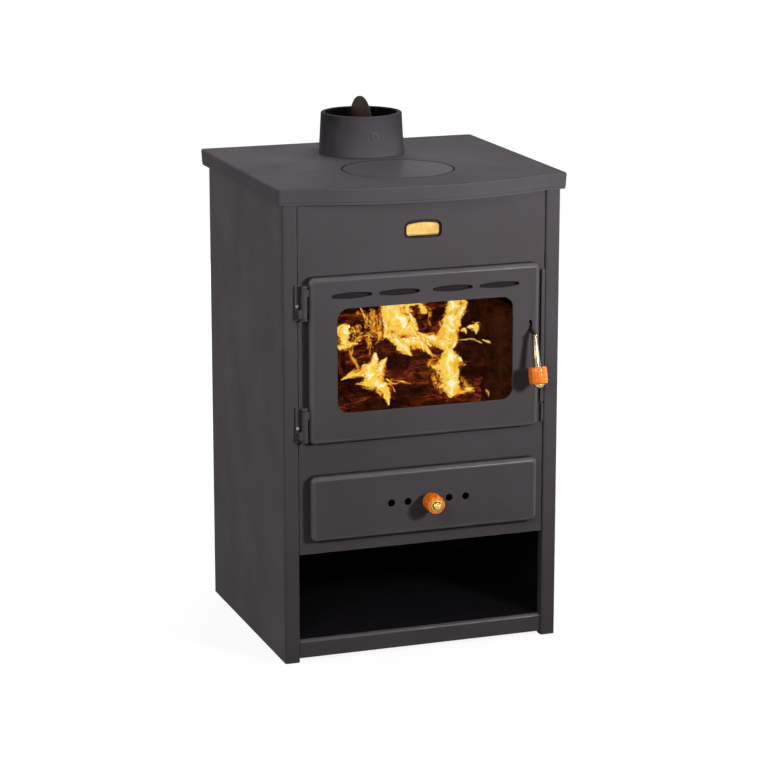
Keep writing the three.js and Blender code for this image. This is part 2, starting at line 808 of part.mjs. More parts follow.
function topOutline() {
  const half = bodyWidth / 2 + sideOverhang;
  const near = front - frontOverhang;
  const far = back + rearOverhang;
  const corner = (x, y, turn) => arc(x, y, topCorner, (turn * Math.PI) / 2, Math.PI / 2, cornerSteps);
  const ends = half - topCorner;
  const edge = Array.from({ length: bowSamples + 1 }, (_, i) => {
    const x = -ends + (2 * ends * i) / bowSamples;
    return point(x, near - bow(x) + bow(ends));
  });
  return [
    ...edge.slice(1, -1),
    ...corner(ends, near + topCorner, 3),
    ...corner(ends, far - topCorner, 0),
    ...corner(-ends, far - topCorner, 1),
    ...corner(-ends, near + topCorner, 2),
  ];
}

function topPlate() {
  const outline = topOutline();
  const height = topThickness + skirtDrop;
  const rounding = roundedTop(height, topEdgeRound).slice(1);
  const flared = [{ inset: -skirtFlare, height: 0 }, ...rounding];
  const outside = layered(insetOf(outline), flared).translate(0, 0, -height);
  const inside = layered(insetOf(outline), [
    { inset: skirtThickness - skirtFlare, height: -overrun },
    { inset: skirtThickness, height: skirtDrop },
  ]).translate(0, 0, -height);
  const ringBottom = -lidThickness - seat - lidLedgeDrop;
  const ring = prism(circle(0, lidY, lidRadius + lidRing, largeRound), -ringBottom - topThickness / 2);
  const rebate = prism(circle(0, lidY, lidRadius + lidGap, largeRound), lidThickness + seat + overrun);
  const mouth = prism(circle(0, lidY, lidRadius - lidLedge, largeRound), 2 * height);
  const flue = prism(circle(0, collarY, collarBore + spigotWall + seat, largeRound), 2 * height);
  return cut(
    join(cut(outside, inside), ring.translate(0, 0, ringBottom)),
    rebate.translate(0, 0, -lidThickness - seat),
    mouth.translate(0, 0, -height),
    flue.translate(0, 0, -height),
  );
}

function cookingLid() {
  const layers = roundedTop(lidThickness, lidEdgeRound, 2);
  const outlineAt = (margin) => circle(0, 0, lidRadius - margin, largeRound);
  return layered(outlineAt, layers).translate(0, 0, -lidThickness);
}

// Flue collar and damper

// The collar's outer radius at a height above the cooking top.
const collarRadius = (height) =>
  collarBaseRadius + ((collarTopRadius - collarBaseRadius) * height) / collarHeight;

function flueCollar() {
  const spigot = collarBore + spigotWall;
  const rimTop = arc(
    collarTopRadius - collarRimRound,
    collarHeight - collarRimRound,
    collarRimRound,
    0,
    Math.PI / 2,
    cornerSteps,
  ).map((p) => [p.x, p.y]);
  const profile = [
    [collarBore, -spigotDrop],
    [spigot, -spigotDrop],
    [spigot, seat],
    [collarBaseRadius, seat],
    ...rimTop,
    [collarBore + collarRimRound, collarHeight],
    [collarBore, collarHeight - collarRimRound],
    [collarBore, -spigotDrop],
  ];
  const bossReach = collarRadius(axleHeight) + axleBossProud;
  const boss = (side) =>
    bar("y", axleBoss, bossReach - collarBore - seat, 0, (side * (bossReach + collarBore + seat)) / 2, axleHeight);
  const bore = bar("y", axleRadius + seat, 4 * collarBaseRadius, 0, 0, axleHeight);
  return cut(join(revolve(profile, largeRound), boss(-1), boss(1)), bore);
}

function damperDisc() {
  const disc = bar("x", damperRadius, damperThickness, 0, 0, 0, largeRound);
  const tube = bar("y", damperTube, 2 * (damperRadius - damperTube));
  const bore = bar("y", axleRadius + seat, 4 * damperRadius);
  return cut(join(disc, tube), bore);
}

// The axle runs through both collar walls; behind the collar it turns up into a short lever.
function damperRod() {
  const wallReach = collarRadius(axleHeight) + axleBossProud;
  const path = new THREE.CurvePath();
  const run = wallReach + leverReach - leverBend;
  const start = point3(0, -wallReach, 0);
  const turnStart = point3(0, run, 0);
  const turnEnd = point3(0, run + leverBend, leverBend);
  path.add(new THREE.LineCurve3(start, turnStart));
  path.add(new THREE.QuadraticBezierCurve3(turnStart, point3(0, run + leverBend, 0), turnEnd));
  path.add(new THREE.LineCurve3(turnEnd, point3(0, run + leverBend, leverRise)));
  const section = new THREE.Shape(circle(0, 0, axleRadius, smallRound));
  return new THREE.ExtrudeGeometry(section, { extrudePath: path, steps: mediumRound, bevelEnabled: false });
}

// Fire door. Its pieces are placed from the middle of the door's face: x right, y back from the face, z up.

// A pressed front: a soft-edged slab hollowed from behind.
function pressedFront(width, height, depth, corner, round, wall) {
  const outside = stand(layered(oblong(width, height, corner), roundedTop(depth, round)), depth);
  const inner = oblong(width - 2 * wall, height - 2 * wall, corner - wall);
  const hollow = layered(inner, roundedTop(depth - wall + overrun, round - wall));
  return cut(outside, stand(hollow, depth - wall + overrun).translate(0, wall, 0));
}

// A lens-shaped air slot: two shallow arcs between blunt ends.
function lensOutline(x, z) {
  const half = slotLength / 2;
  const steps = 2 * cornerSteps;
  const edge = (side) =>
    Array.from({ length: steps + 1 }, (_, i) => {
      const along = -side * (1 - (2 * i) / steps);
      const height = slotTip / 2 + ((slotHeight - slotTip) / 2) * (1 - along ** 2);
      return point(x - along * half, z + side * height);
    });
  return [...edge(1), ...edge(-1)];
}

function doorLeaf() {
  const leaf = pressedFront(doorWidth, doorHeight, doorDepth, doorCorner, doorRound, leafSkin);
  const ribShape = roundedRectangle(sealRibOuter.width, sealRibOuter.height, doorCorner / 2);
  const ribHole = roundedRectangle(doorOpening.width, doorOpening.height, doorCorner / 2);
  const rib = upright(ribShape, doorDepth - leafSkin / 2, [ribHole]).translate(0, leafSkin / 2, 0);
  const through = leafSkin + 2 * overrun;
  const opening = (outline) => upright(outline, through).translate(0, -overrun, 0);
  const middle = windowMiddle - doorMiddle;
  const leverSlot = roundedRectangle(
    leverSlotWidth,
    leverSlotBelow + leverSlotAbove,
    leverSlotWidth / 2,
    leverX,
    leverPivotHeight + (leverSlotAbove - leverSlotBelow) / 2 - doorMiddle,
  );
  return cut(
    join(leaf, rib),
    opening(roundedRectangle(windowWidth, windowHeight, windowCorner, 0, middle)),
    opening(leverSlot),
    ...slotOffsets.map((x) => opening(lensOutline(x, slotMiddle - doorMiddle))),
  );
}

function windowGasket() {
  const outer = glassLap - gasketInset;
  const ring = roundedRectangle(windowWidth + 2 * outer, windowHeight + 2 * outer, windowCorner);
  const hole = roundedRectangle(
    windowWidth + 2 * gasketInset,
    windowHeight + 2 * gasketInset,
    windowCorner,
  );
  return upright(ring, gasketThickness, [hole]);
}

function doorGlass() {
  const outline = roundedRectangle(windowWidth + 2 * glassLap, windowHeight + 2 * glassLap, bendRadius);
  return upright(outline, glassThickness);
}

// A stepped clip: its foot stands on the leaf beside the glass, its tongue laps the glass's back.
function glassClip(side) {
  const edge = windowWidth / 2 + glassLap;
  const footDepth = leafSkin + seat + clipThickness / 2;
  const tongueDepth = glassBack + seat + clipThickness / 2;
  const riser = edge + seat + clipThickness;
  const path = [
    point(side * (riser + clipFoot), footDepth),
    point(side * riser, footDepth),
    point(side * riser, tongueDepth),
    point(side * (edge - clipLap), tongueDepth),
  ];
  const strip = prism(foldedSheet(path, clipThickness, clipBend - clipThickness / 2), clipWidth);
  const head = bar(
    "y",
    clipScrewRadius,
    clipScrewHeight + clipThickness,
    side * (riser + clipFoot / 2 + clipThickness / 2),
    leafSkin + seat + (clipScrewHeight + clipThickness) / 2,
    clipWidth / 2,
    smallRound,
  );
  return join(strip, head).translate(0, 0, -clipWidth / 2);
}

function slotShade() {
  const length = slotOffsets[slotOffsets.length - 1] - slotOffsets[0] + slotLength + 2 * slotTip;
  const half = slotShadeHeight / 2;
  const depth = slotShadeGap + slotShadeThickness / 2;
  const path = [
    point(seat, half),
    point(depth, half),
    point(depth, -half),
  ];
  return crosswise(foldedSheet(path, slotShadeThickness, slotShadeThickness / 2), length);
}

function doorSeal() {
  const outer = roundedRectangle(
    sealOuter.width - 2 * sealGap,
    sealOuter.height - 2 * sealGap,
    doorCorner - leafSkin,
  );
  const inner = roundedRectangle(
    sealRibOuter.width + 2 * sealGap,
    sealRibOuter.height + 2 * sealGap,
    doorCorner / 2,
  );
  return upright(outer, doorDepth + doorRimGap - seat - doorRound, [inner]);
}

function leverPivot() {
  const inner = leverX - leverThickness / 2 - seat;
  const cheek = block(
    pivotCheek,
    leverPivotDepth + leverPinRadius - leafSkin,
    pivotCheekHeight,
    inner - pivotCheek / 2,
    (leafSkin + seat + leverPivotDepth + leverPinRadius) / 2 + seat,
    0,
  );
  const end = doorOpening.width / 2 - seat;
  const length = end - (inner - pivotCheek / 2);
  const pin = bar("x", leverPinRadius, length, end - length / 2, leverPivotDepth, 0);
  return join(cheek, pin);
}

// Latch lever, drawn as (y, z) from its pivot: a finger behind the door and an arm down to the knee outside.
function latchLever() {
  const path = [
    point(fingerReach, fingerRise),
    point(0, 0),
    point(-leverKnee.out, -leverKnee.down),
  ];
  const barShape = crosswise(foldedSheet(path, leverDepth, leverDepth), leverThickness);
  const boss = bar("x", leverBossRadius, leverThickness);
  const collar = bar("z", rodCollarRadius, rodCollarLength, 0, 0, 0)
    .rotateX(-rodLean)
    .translate(0, -leverKnee.out, -leverKnee.down);
  return cut(join(barShape, boss, collar), bar("x", leverPinRadius + seat, 4 * leverThickness));
}

// The rod hangs from z = 0: a tapered rod, then a thin stud that carries the grip and its nut.
function handleRod() {
  const top = -rodCollarLength / 2 - seat;
  const foot = -rodLength;
  const studEnd = foot - gripLength - nutRadius / 2;
  return revolve([
    [0, studEnd],
    [studRadius, studEnd],
    [studRadius, foot],
    [rodFootRadius, foot],
    [rodTopRadius, top],
    [0, top],
  ]);
}

// The grip, its bore round z, from z = 0 down: a barrel with two turned grooves.
function grip() {
  const steps = 6;
  const barrel = Array.from({ length: steps + 1 }, (_, i) => {
    const along = -1 + (2 * i) / steps;
    const radius = gripEndRadius + (gripRadius - gripEndRadius) * Math.sqrt(1 - along ** 2);
    return [radius, -gripLength / 2 + (along * gripLength) / 2];
  });
  const grooveAt = [1 / 3, 2 / 3].map((share) => -gripLength * share);
  const body = revolve([
    [studRadius + seat, -gripLength],
    ...barrel,
    [studRadius + seat, 0],
    [studRadius + seat, -gripLength],
  ]);
  const grooves = grooveAt.map((z) =>
    revolve([
      [gripRadius - gripGroove, z],
      [gripRadius + overrun, z - gripGrooveWidth / 2],
      [gripRadius + overrun, z + gripGrooveWidth / 2],
      [gripRadius - gripGroove, z],
    ]),
  );
  return cut(body, ...grooves);
}

// A dome nut below z = 0 with a blind bore for the stud.
function domeNut() {
  const dome = arc(0, -nutSkirt, nutRadius, 0, -Math.PI / 2, cornerSteps + 1).map((p) => [p.x, p.y]);
  const bore = studRadius + seat;
  return revolve([
    [0, -nutSkirt - nutRadius],
    ...dome.reverse().slice(1),
    [nutRadius, 0],
    [bore, 0],
    [bore, -nutRadius / 2 - seat],
    [0, -nutRadius / 2 - seat],
  ]);
}

// Hinge pieces, each standing on the barrel's lower end with the hinge axis at x = y = 0.
const knuckleFoot = pinFoot + seat;
const doorKnuckleFoot = knuckleFoot + frameKnuckle + seat;
const barrelLength = doorKnuckleFoot + doorKnuckle + seat + pinHead;

function knuckle(length, foot) {
  return bar("z", barrelRadius, length, 0, 0, foot + length / 2, mediumRound);
}

const pinBore = () => bar("z", pinRadius + seat, 2 * barrelLength, 0, 0, barrelLength / 2);

function hingeBracket() {
  const plateLeft = -bracketReach;
  const rear = front - seat - hingeY;
  const plate = span(plateLeft, plateLeft + bracketWidth, rear - bracketThickness, rear, 0, barrelLength);
  const web = span(
    plateLeft + bracketWidth / 2,
    0,
    -bracketThickness,
    rear - bracketThickness / 2,
    knuckleFoot,
    knuckleFoot + webHeight,
  );
  const boltHole = bar("y", boltRadius + seat, 4 * overrun, boltX - hingeX, rear, boltRise);
  return cut(join(plate, web, knuckle(frameKnuckle, knuckleFoot)), pinBore(), boltHole);
}

function doorHinge() {
  const top = doorKnuckleFoot + doorKnuckle;
  const reach = -doorWidth / 2 - seat - hingeX;
  const lug = span(0, reach, -lugThickness / 2, lugThickness / 2, top - lugHeight, top);
  return cut(join(knuckle(doorKnuckle, doorKnuckleFoot), lug), pinBore());
}

function hingePin() {
  const headFoot = doorKnuckleFoot + doorKnuckle + seat;
  const dome = arc(0, 0, 1, 0, Math.PI / 2, cornerSteps).map((p) => [
    p.x * barrelRadius,
    headFoot + (pinHead / 2) * (1 + p.y),
  ]);
  return revolve([
    [0, 0],
    [barrelRadius, 0],
    [barrelRadius, pinFoot],
    [pinRadius, pinFoot],
    [pinRadius, headFoot],
    [barrelRadius, headFoot],
    ...dome.slice(0, -1),
    [0, barrelLength],
  ]);
}

// Half-round bar on the front panel, rounded over at its upper end.
function railBar(width, length) {
  const outlineAt = oblong(width, length, railRound + seat);
  return stand(layered(outlineAt, roundedTop(railProud, railRound)), railProud).translate(0, 0, length / 2);
}

function latchKeeper() {
  const wall = fireboxWidth / 2 - seat;
  const path = [
    point(wall - keeperReach, 0),
    point(wall - keeperThickness / 2, 0),
    point(wall - keeperThickness / 2, keeperHeight),
  ];
  return upright(foldedSheet(path, keeperThickness, seat), keeperDepth);
}

// Ash drawer, placed from the middle of its face.

function drawerFront() {
  const body = pressedFront(drawerWidth, drawerHeight, drawerDepth, drawerCorner, doorRound, drawerSkin);
  const holes = airHoleOffsets.map((x) => circle(airX + x, 0, airHoleRadius, smallRound));
  const stemSlot = roundedRectangle(
    2 * (studRadius + seat) + airTravel + 2 * seat,
    2 * (studRadius + seat),
    studRadius,
    airX + airTravel / 2,
    0,
  );
  const opening = (outline) => upright(outline, drawerSkin + 2 * overrun).translate(0, -overrun, 0);
  const lipFront = drawerSkin + seat + slideThickness + seat;
  const guideLength = slideWidth + airTravel;
  const guides = [-1, 1].map((side) => {
    const inner = slideHeight / 2 + seat;
    const path = [
      point(drawerSkin / 2, side * (inner + guideLip / 2)),
      point(lipFront + guideLip / 2, side * (inner + guideLip / 2)),
      point(lipFront + guideLip / 2, side * (inner + guideLip / 2 - guideHeight)),
    ];
    return crosswise(foldedSheet(path, guideLip, seat), guideLength).translate(airX + airTravel / 2, 0, 0);
  });
  return cut(join(body, ...guides), ...[...holes, stemSlot].map(opening));
}

function ashPan() {
  const outlineAt = oblong(panWidth, panDepth, panCorner);
  const outside = prism(outlineAt(0), panHeight);
  const inside = prism(outlineAt(panWall), panHeight).translate(0, 0, panWall);
  const mouth = block(
    panWidth - 2 * panCorner,
    2 * panCorner,
    panHeight,
    0,
    -panDepth / 2,
    panFrontHeight + panHeight / 2,
  );
  return cut(outside, inside, mouth);
}

function drawerRunner(side) {
  const outer = fireboxWidth / 2 - seat - runnerSheet / 2;
  const inner = panWidth / 2 - runnerWidth / 2;
  const level = panBottom - seat - runnerSheet / 2;
  const path = [
    point(side * inner, level),
    point(side * outer, level),
    point(side * outer, deckTop + seat),
  ];
  return upright(foldedSheet(path, runnerSheet, seat), panDepth + runnerOverhang);
}

// The slide behind the drawer's face and its stud, centred on the hole pattern.
function airSlide() {
  const holes = airHoleOffsets.map((x) => circle(x, 0, airHoleRadius, smallRound));
  const plate = upright(roundedRectangle(slideWidth, slideHeight, bendRadius), slideThickness, holes);
  const depth = drawerSkin + seat;
  const studLength = depth + knobStandoff + gripLength + nutRadius / 2;
  const stud = bar("y", studRadius, studLength, 0, slideThickness / 2 - studLength / 2, 0);
  const collarLength = knobStandoff - 2 * seat;
  const collar = bar("y", stemCollarRadius, collarLength, 0, -depth - seat - collarLength / 2, 0);
  return join(plate, stud, collar);
}

// Assembly

const stove = new THREE.Group();

function addBody(parent) {
  piece(parent, "side_panel_left", sidePanel(-1), paint);
  piece(parent, "side_panel_right", sidePanel(1), paint);
  piece(parent, "back_panel", backPanel(), paint);
  piece(parent, "base_pan", basePan(), paint);
  piece(parent, "ash_deck", ashDeck(), sheetSteel, 0, 0, deckTop);
  piece(parent, "front_panel", frontPanel(), paint, 0, panelFace, 0);
  piece(parent, "name_plate", namePlate(), brass, 0, panelFace + pocketDepth - seat, plateMiddle);
  const railX = railEdge - railWidth / 2;
  const railY = panelFace - seat - railProud;
  piece(parent, "rail_upper", railBar(railWidth, railTop - railJoint), paint, railX, railY, railJoint);
  piece(
    parent,
    "rail_lower",
    railBar(stopWidth, railJoint - railGap - railBottom),
    paint,
    railEdge - stopWidth / 2,
    railY,
    railBottom,
  );
}

function addFirebox(parent) {
  const linerBottom = hearthTop + seat;
  const sideLength = fireboxBack - seat - panelBack - linerSetback;
  const sideMiddle = fireboxBack - seat - sideLength / 2;
  const backWidth = fireboxWidth - 2 * (linerThickness + 2 * seat);
  piece(parent, "firebox_shell", fireboxShell(), sheetSteel);
  piece(parent, "hearth_plate", hearthPlate(), castIron, 0, hearthMiddle, hearthTop - hearthThickness);
  piece(parent, "grate", grate(), castIron, 0, hearthMiddle, hearthTop + seat);
  [-1, 1].forEach((side) => {
    const liner = slab(sideLength, linerHeight);
    liner.rotateX(Math.PI / 2).rotateZ((side * Math.PI) / 2);
    const x = side * (fireboxWidth / 2 - seat);
    const name = side < 0 ? "liner_left" : "liner_right";
    const shift = side < 0 ? linerThickness : -linerThickness;
    piece(parent, name, liner, brick, x + shift, sideMiddle, linerBottom + linerHeight / 2);
  });
  const rear = slab(backWidth, linerHeight).rotateX(Math.PI / 2);
  piece(parent, "liner_back", rear, brick, 0, fireboxBack - seat, linerBottom + linerHeight / 2);
  piece(parent, "log_guard", logGuard(), castIron, 0, panelBack + guardSetback, hearthTop + seat);
  const baffle = piece(parent, "smoke_baffle", smokeBaffle(), castIron, 0, bafflePivot.y, bafflePivot.z);
  baffle.rotation.x = -baffleTilt;
  const keeperZ = leverPivotHeight + fingerRise + leverDepth / 2 + seat + keeperThickness / 2;
  piece(parent, "latch_keeper", latchKeeper(), steel, 0, panelBack + seat, keeperZ);
  const runnerY = panelBack + seat;
  piece(parent, "drawer_runner_left", drawerRunner(-1), sheetSteel, 0, runnerY, 0);
  piece(parent, "drawer_runner_right", drawerRunner(1), sheetSteel, 0, runnerY, 0);
}

function addHinges(parent, door) {
  Object.entries(barrelHeights).forEach(([level, z]) => {
    piece(parent, "hinge_bracket_" + level, hingeBracket(), paint, hingeX, hingeY, z);
    piece(parent, "hinge_pin_" + level, hingePin(), steel, hingeX, hingeY, z);
    const bolt = fastener(boltHeadRadius, boltHeadHeight, boltRadius, boltLength).rotateX(Math.PI / 2);
    const boltY = front - 2 * seat - bracketThickness;
    piece(parent, "hinge_bolt_" + level, bolt, steel, boltX, boltY, z + boltRise);
    piece(door, "door_knuckle_" + level, doorHinge(), paint, 0, 0, z - doorMiddle);
  });
}

function addDoor(parent) {
  const door = group(parent, hingeX, hingeY, doorMiddle);
  addHinges(parent, door);
  const leaf = group(door, -hingeX, doorFace - hingeY, 0);
  const windowZ = windowMiddle - doorMiddle;
  piece(leaf, "door_leaf", doorLeaf(), paint);
  piece(leaf, "window_gasket", windowGasket(), rope, 0, leafSkin + seat, windowZ);
  piece(leaf, "door_glass", doorGlass(), glazing, 0, glassFront, windowZ);
  [-1, 1].forEach((side) =>
    [-1, 1].forEach((level) => {
      const name = "glass_clip_" + (side < 0 ? "left_" : "right_") + (level < 0 ? "lower" : "upper");
      piece(leaf, name, glassClip(side), steel, 0, 0, windowZ + level * clipOffsetShare * windowHeight);
    }),
  );
  piece(leaf, "slot_shade", slotShade(), paint, 0, leafSkin, slotMiddle - doorMiddle);
  piece(leaf, "door_seal", doorSeal(), rope, 0, doorRound, 0);
  const pivotZ = leverPivotHeight - doorMiddle;
  piece(leaf, "lever_pivot", leverPivot(), steel, 0, 0, pivotZ);
  const lever = group(leaf, leverX, leverPivotDepth, pivotZ);
  piece(lever, "latch_lever", latchLever(), steel);
  const rod = group(lever, 0, -leverKnee.out, -leverKnee.down);
  rod.rotation.x = -rodLean;
  piece(rod, "handle_rod", handleRod(), brass);
  piece(rod, "handle_grip", grip(), amber, 0, 0, -rodLength - seat);
  piece(rod, "handle_nut", domeNut(), brass, 0, 0, -rodLength - gripLength - 2 * seat);
}

function addDrawer(parent) {
  const drawer = group(parent, 0, drawerFace, drawerMiddle);
  piece(drawer, "drawer_front", drawerFront(), paint);
  const panY = drawerDepth + seat + panDepth / 2;
  piece(drawer, "ash_pan", ashPan(), sheetSteel, 0, panY, panBottom - drawerMiddle);
  const slide = group(drawer, airX, drawerSkin + seat, 0);
  piece(slide, "air_slide", airSlide(), steel);
  const gripY = -drawerSkin - seat - knobStandoff;
  const knob = group(slide, 0, gripY, 0);
  knob.rotation.x = -Math.PI / 2;
  piece(knob, "air_knob", grip(), amber);
  piece(knob, "air_knob_nut", domeNut(), brass, 0, 0, -gripLength - seat);
}

function addTop(parent) {
  piece(parent, "top_plate", topPlate(), castPaint, 0, 0, topSurface);
  piece(parent, "flue_collar", flueCollar(), castPaint, 0, collarY, topSurface);
  piece(parent, "cooking_lid", cookingLid(), castPaint, 0, lidY, topSurface);
  const damper = group(parent, 0, collarY, topSurface + axleHeight);
  piece(damper, "damper_disc", damperDisc(), castIron);
  piece(damper, "damper_rod", damperRod(), steel);
}

addBody(stove);
addFirebox(stove);
addDoor(stove);
addDrawer(stove);
addTop(stove);

// The part's origin is the middle of its footprint on the floor.
const footprint = new THREE.Box3().setFromObject(stove, true).getCenter(new THREE.Vector3());
stove.position.set(-footprint.x, -footprint.y, 0);
const root = new THREE.Group();
root.add(stove);

export default root;
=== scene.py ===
"""The looks of a small wood-burning cookstove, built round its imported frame.

Every size is in millimetres in the stove's own frame: x to the right, y to the back with the body's middle at
zero, z up from the floor. A piece is brought to metres and to the frame's origin when it is finished.
"""

import json
import logging
import math
from collections.abc import Callable, Iterable, Sequence
from dataclasses import dataclass
from enum import Enum

import bmesh
import bpy
from mathutils import Matrix, Vector, noise

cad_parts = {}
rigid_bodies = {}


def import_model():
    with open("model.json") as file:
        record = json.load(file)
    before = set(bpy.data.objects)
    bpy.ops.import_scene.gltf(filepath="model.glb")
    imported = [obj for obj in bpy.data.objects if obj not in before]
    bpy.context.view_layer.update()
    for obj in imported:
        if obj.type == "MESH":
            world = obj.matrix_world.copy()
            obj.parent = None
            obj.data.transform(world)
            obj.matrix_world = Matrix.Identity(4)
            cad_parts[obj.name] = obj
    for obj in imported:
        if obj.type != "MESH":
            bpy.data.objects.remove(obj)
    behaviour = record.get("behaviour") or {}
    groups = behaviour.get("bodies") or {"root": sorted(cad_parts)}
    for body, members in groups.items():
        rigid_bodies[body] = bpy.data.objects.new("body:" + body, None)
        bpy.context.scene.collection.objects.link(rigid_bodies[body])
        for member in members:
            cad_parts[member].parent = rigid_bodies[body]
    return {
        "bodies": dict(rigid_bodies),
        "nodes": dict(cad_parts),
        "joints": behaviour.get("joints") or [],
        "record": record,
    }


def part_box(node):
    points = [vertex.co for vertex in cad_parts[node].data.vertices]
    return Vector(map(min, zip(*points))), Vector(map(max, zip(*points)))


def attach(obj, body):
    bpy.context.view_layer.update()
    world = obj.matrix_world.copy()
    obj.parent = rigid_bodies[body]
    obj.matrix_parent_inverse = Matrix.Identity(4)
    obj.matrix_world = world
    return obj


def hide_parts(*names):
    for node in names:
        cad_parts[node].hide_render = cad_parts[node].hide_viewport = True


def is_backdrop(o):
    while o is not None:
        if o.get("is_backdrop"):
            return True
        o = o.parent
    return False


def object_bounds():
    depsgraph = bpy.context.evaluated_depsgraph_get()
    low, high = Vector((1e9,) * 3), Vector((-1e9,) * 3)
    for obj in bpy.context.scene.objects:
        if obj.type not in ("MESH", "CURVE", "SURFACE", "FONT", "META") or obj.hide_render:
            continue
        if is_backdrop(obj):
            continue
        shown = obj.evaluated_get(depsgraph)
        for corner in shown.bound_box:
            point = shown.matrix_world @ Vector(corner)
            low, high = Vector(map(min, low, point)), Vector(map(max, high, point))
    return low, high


log = logging.getLogger("cookstove")

MM = 0.001
"""One millimetre, in metres."""

FRONT_OF_BODY = -180.0
"""Where the body's front lies in the stove's frame."""

GAP = 0.3
"""The clearance that the frame leaves between two neighbouring pieces."""

SAME = 0.01
"""How far apart two values may be and still count as the same."""

"""Where the frame's box and the finished box are written."""

TO_BACK = Matrix.Rotation(-math.pi / 2, 4, "X")
"""Turns a piece that was spun round z until its upper end looks backwards."""

TO_FRONT = Matrix.Rotation(math.pi / 2, 4, "X")
"""Turns a piece that was spun round z until its upper end looks forwards."""

WHITE = (1.0, 1.0, 1.0)
"""The studio's white."""

Point = tuple[float, float]
Triple = tuple[float, float, float]
Colour = Triple
Edges = list[bmesh.types.BMEdge]
Verts = list[bmesh.types.BMVert]
Node = bpy.types.Node
Socket = bpy.types.NodeSocket
Outputs = bpy.types.NodeOutputs
Tree = bpy.types.ShaderNodeTree
Material = bpy.types.Material


def srgb(red: float, green: float, blue: float) -> Colour:
    """Turns display values from 0 to 255 into a linear colour.

    Args:
        red: Red as it shows on a screen.
        green: Green as it shows on a screen.
        blue: Blue as it shows on a screen.

    Returns:
        The linear colour.
    """

    def linear(value: float) -> float:
        """Undoes the screen's curve for one channel."""
        share = value / 255
        return share / 12.92 if share <= 0.04045 else ((share + 0.055) / 1.055) ** 2.4

    return (linear(red), linear(green), linear(blue))


def shade(colour: Colour, factor: float) -> Colour:
    """Returns the colour made darker or lighter by a factor."""
    return (colour[0] * factor, colour[1] * factor, colour[2] * factor)


# Node trees


class Board:
    """Short ways to add and join the nodes of one tree."""

    def __init__(self, tree: bpy.types.NodeTree) -> None:
        """Keeps the tree that the nodes go in."""
        self.tree = tree

    @classmethod
    def cleared(cls, owner: Material | bpy.types.World) -> "Board":
        """Empties an owner's node tree and returns its board.

        Args:
            owner: The material or world.

        Returns:
            Its board.
        """
        owner.use_nodes = True
        owner.node_tree.nodes.clear()
        return cls(owner.node_tree)

    def feed(self, socket: Socket, value: object) -> None:
        """Links a socket to another, or sets its value.

        Args:
            socket: The input that is fed.
            value: A socket to link from, a colour, or a number.
        """
        if isinstance(value, Socket):
            self.tree.links.new(value, socket)
        elif socket.type == "RGBA" and len(value) == 3:
            socket.default_value = (*value, 1.0)
        else:
            socket.default_value = value

    def fill(self, node: Node, inputs: dict[str | int, object]) -> None:
        """Feeds a node's inputs, by name or number."""
        for key, value in inputs.items():
            self.feed(node.inputs[key], value)

    def node(self, kind: str, inputs: dict[str | int, object] | None = None, **settings: object) -> Node:
        """Adds a node.

        Args:
            kind: The node's type.
            inputs: Values or sockets for its inputs, by name or number.
            **settings: The node's own properties.

        Returns:
            The new node.
        """
        made = self.tree.nodes.new(kind)
        for key, value in settings.items():
            setattr(made, key, value)
        self.fill(made, inputs or {})
        return made

    def math(self, operation: str, first: object, second: object = 0.0) -> Socket:
        """Adds a clamped sum, product or other operation on two values, and returns its result."""
        made = self.node("ShaderNodeMath", {0: first, 1: second}, operation=operation, use_clamp=True)
        return made.outputs[0]

    def scaled_sum(self, value: object, factor: float, other: object = 0.0) -> Socket:
        """Adds a value times a factor plus another value, with no clamp, and returns its result."""
        made = self.node("ShaderNodeMath", {0: value, 1: factor, 2: other}, operation="MULTIPLY_ADD")
        return made.outputs[0]

    def noise(self, vector: object, scale: object, detail: float = 3.0, rough: float = 0.55) -> Socket:
        """Adds a noise and returns its value."""
        inputs = {"Vector": vector, "Scale": scale, "Detail": detail, "Roughness": rough}
        return self.node("ShaderNodeTexNoise", inputs).outputs["Fac"]

    def seen(self) -> Socket:
        """Returns 1 for rays from the camera, and for those that bounced off gloss or went through glass.

        Returns:
            The three kinds of ray added up, and 0 for every other ray.
        """
        path = self.node("ShaderNodeLightPath").outputs
        bent = self.math("ADD", path["Is Glossy Ray"], path["Is Transmission Ray"])
        return self.math("ADD", path["Is Camera Ray"], bent)

    def stretch(self, vector: object, scale: Triple) -> Socket:
        """Adds a mapping that stretches a pattern along its axes, and returns its vector."""
        return self.node("ShaderNodeMapping", {"Vector": vector, "Scale": scale}).outputs["Vector"]

    def written(self, name: str) -> Socket:
        """Returns the value that a mesh attribute holds."""
        return self.node("ShaderNodeAttribute", attribute_name=name).outputs["Fac"]

    def bump(self, height: object, strength: float, distance: float) -> Socket:
        """Adds a bump and returns its normal."""
        inputs = {"Strength": strength, "Distance": distance, "Height": height}
        return self.node("ShaderNodeBump", inputs).outputs["Normal"]

    def remap(self, value: object, low: float, high: float, to_low: float, to_high: float) -> Socket:
        """Adds a clamped map from one range to another, and returns its result."""
        inputs = {"Value": value, "From Min": low, "From Max": high, "To Min": to_low, "To Max": to_high}
        return self.node("ShaderNodeMapRange", inputs).outputs["Result"]

    def mix(self, share: object, first: object, second: object) -> Socket:
        """Adds a mix of two colours and returns its result."""
        made = self.node("ShaderNodeMix", {"Factor": share, "A": first, "B": second}, data_type="RGBA")
        return made.outputs["Result"]

    def ramp(self, value: object, stops: Sequence[tuple[float, Colour]]) -> Socket:
        """Adds a colour ramp and returns its colour.

        Args:
            value: What the ramp reads.
            stops: Places from 0 to 1 with their colours.

        Returns:
            The colour socket.
        """
        made = self.node("ShaderNodeValToRGB", {"Fac": value})
        elements = made.color_ramp.elements
        while len(elements) < len(stops):
            elements.new(0.5)
        for element, (place, colour) in zip(elements, stops, strict=True):
            element.position = place
            element.color = (*colour, 1.0)
        return made.outputs["Color"]


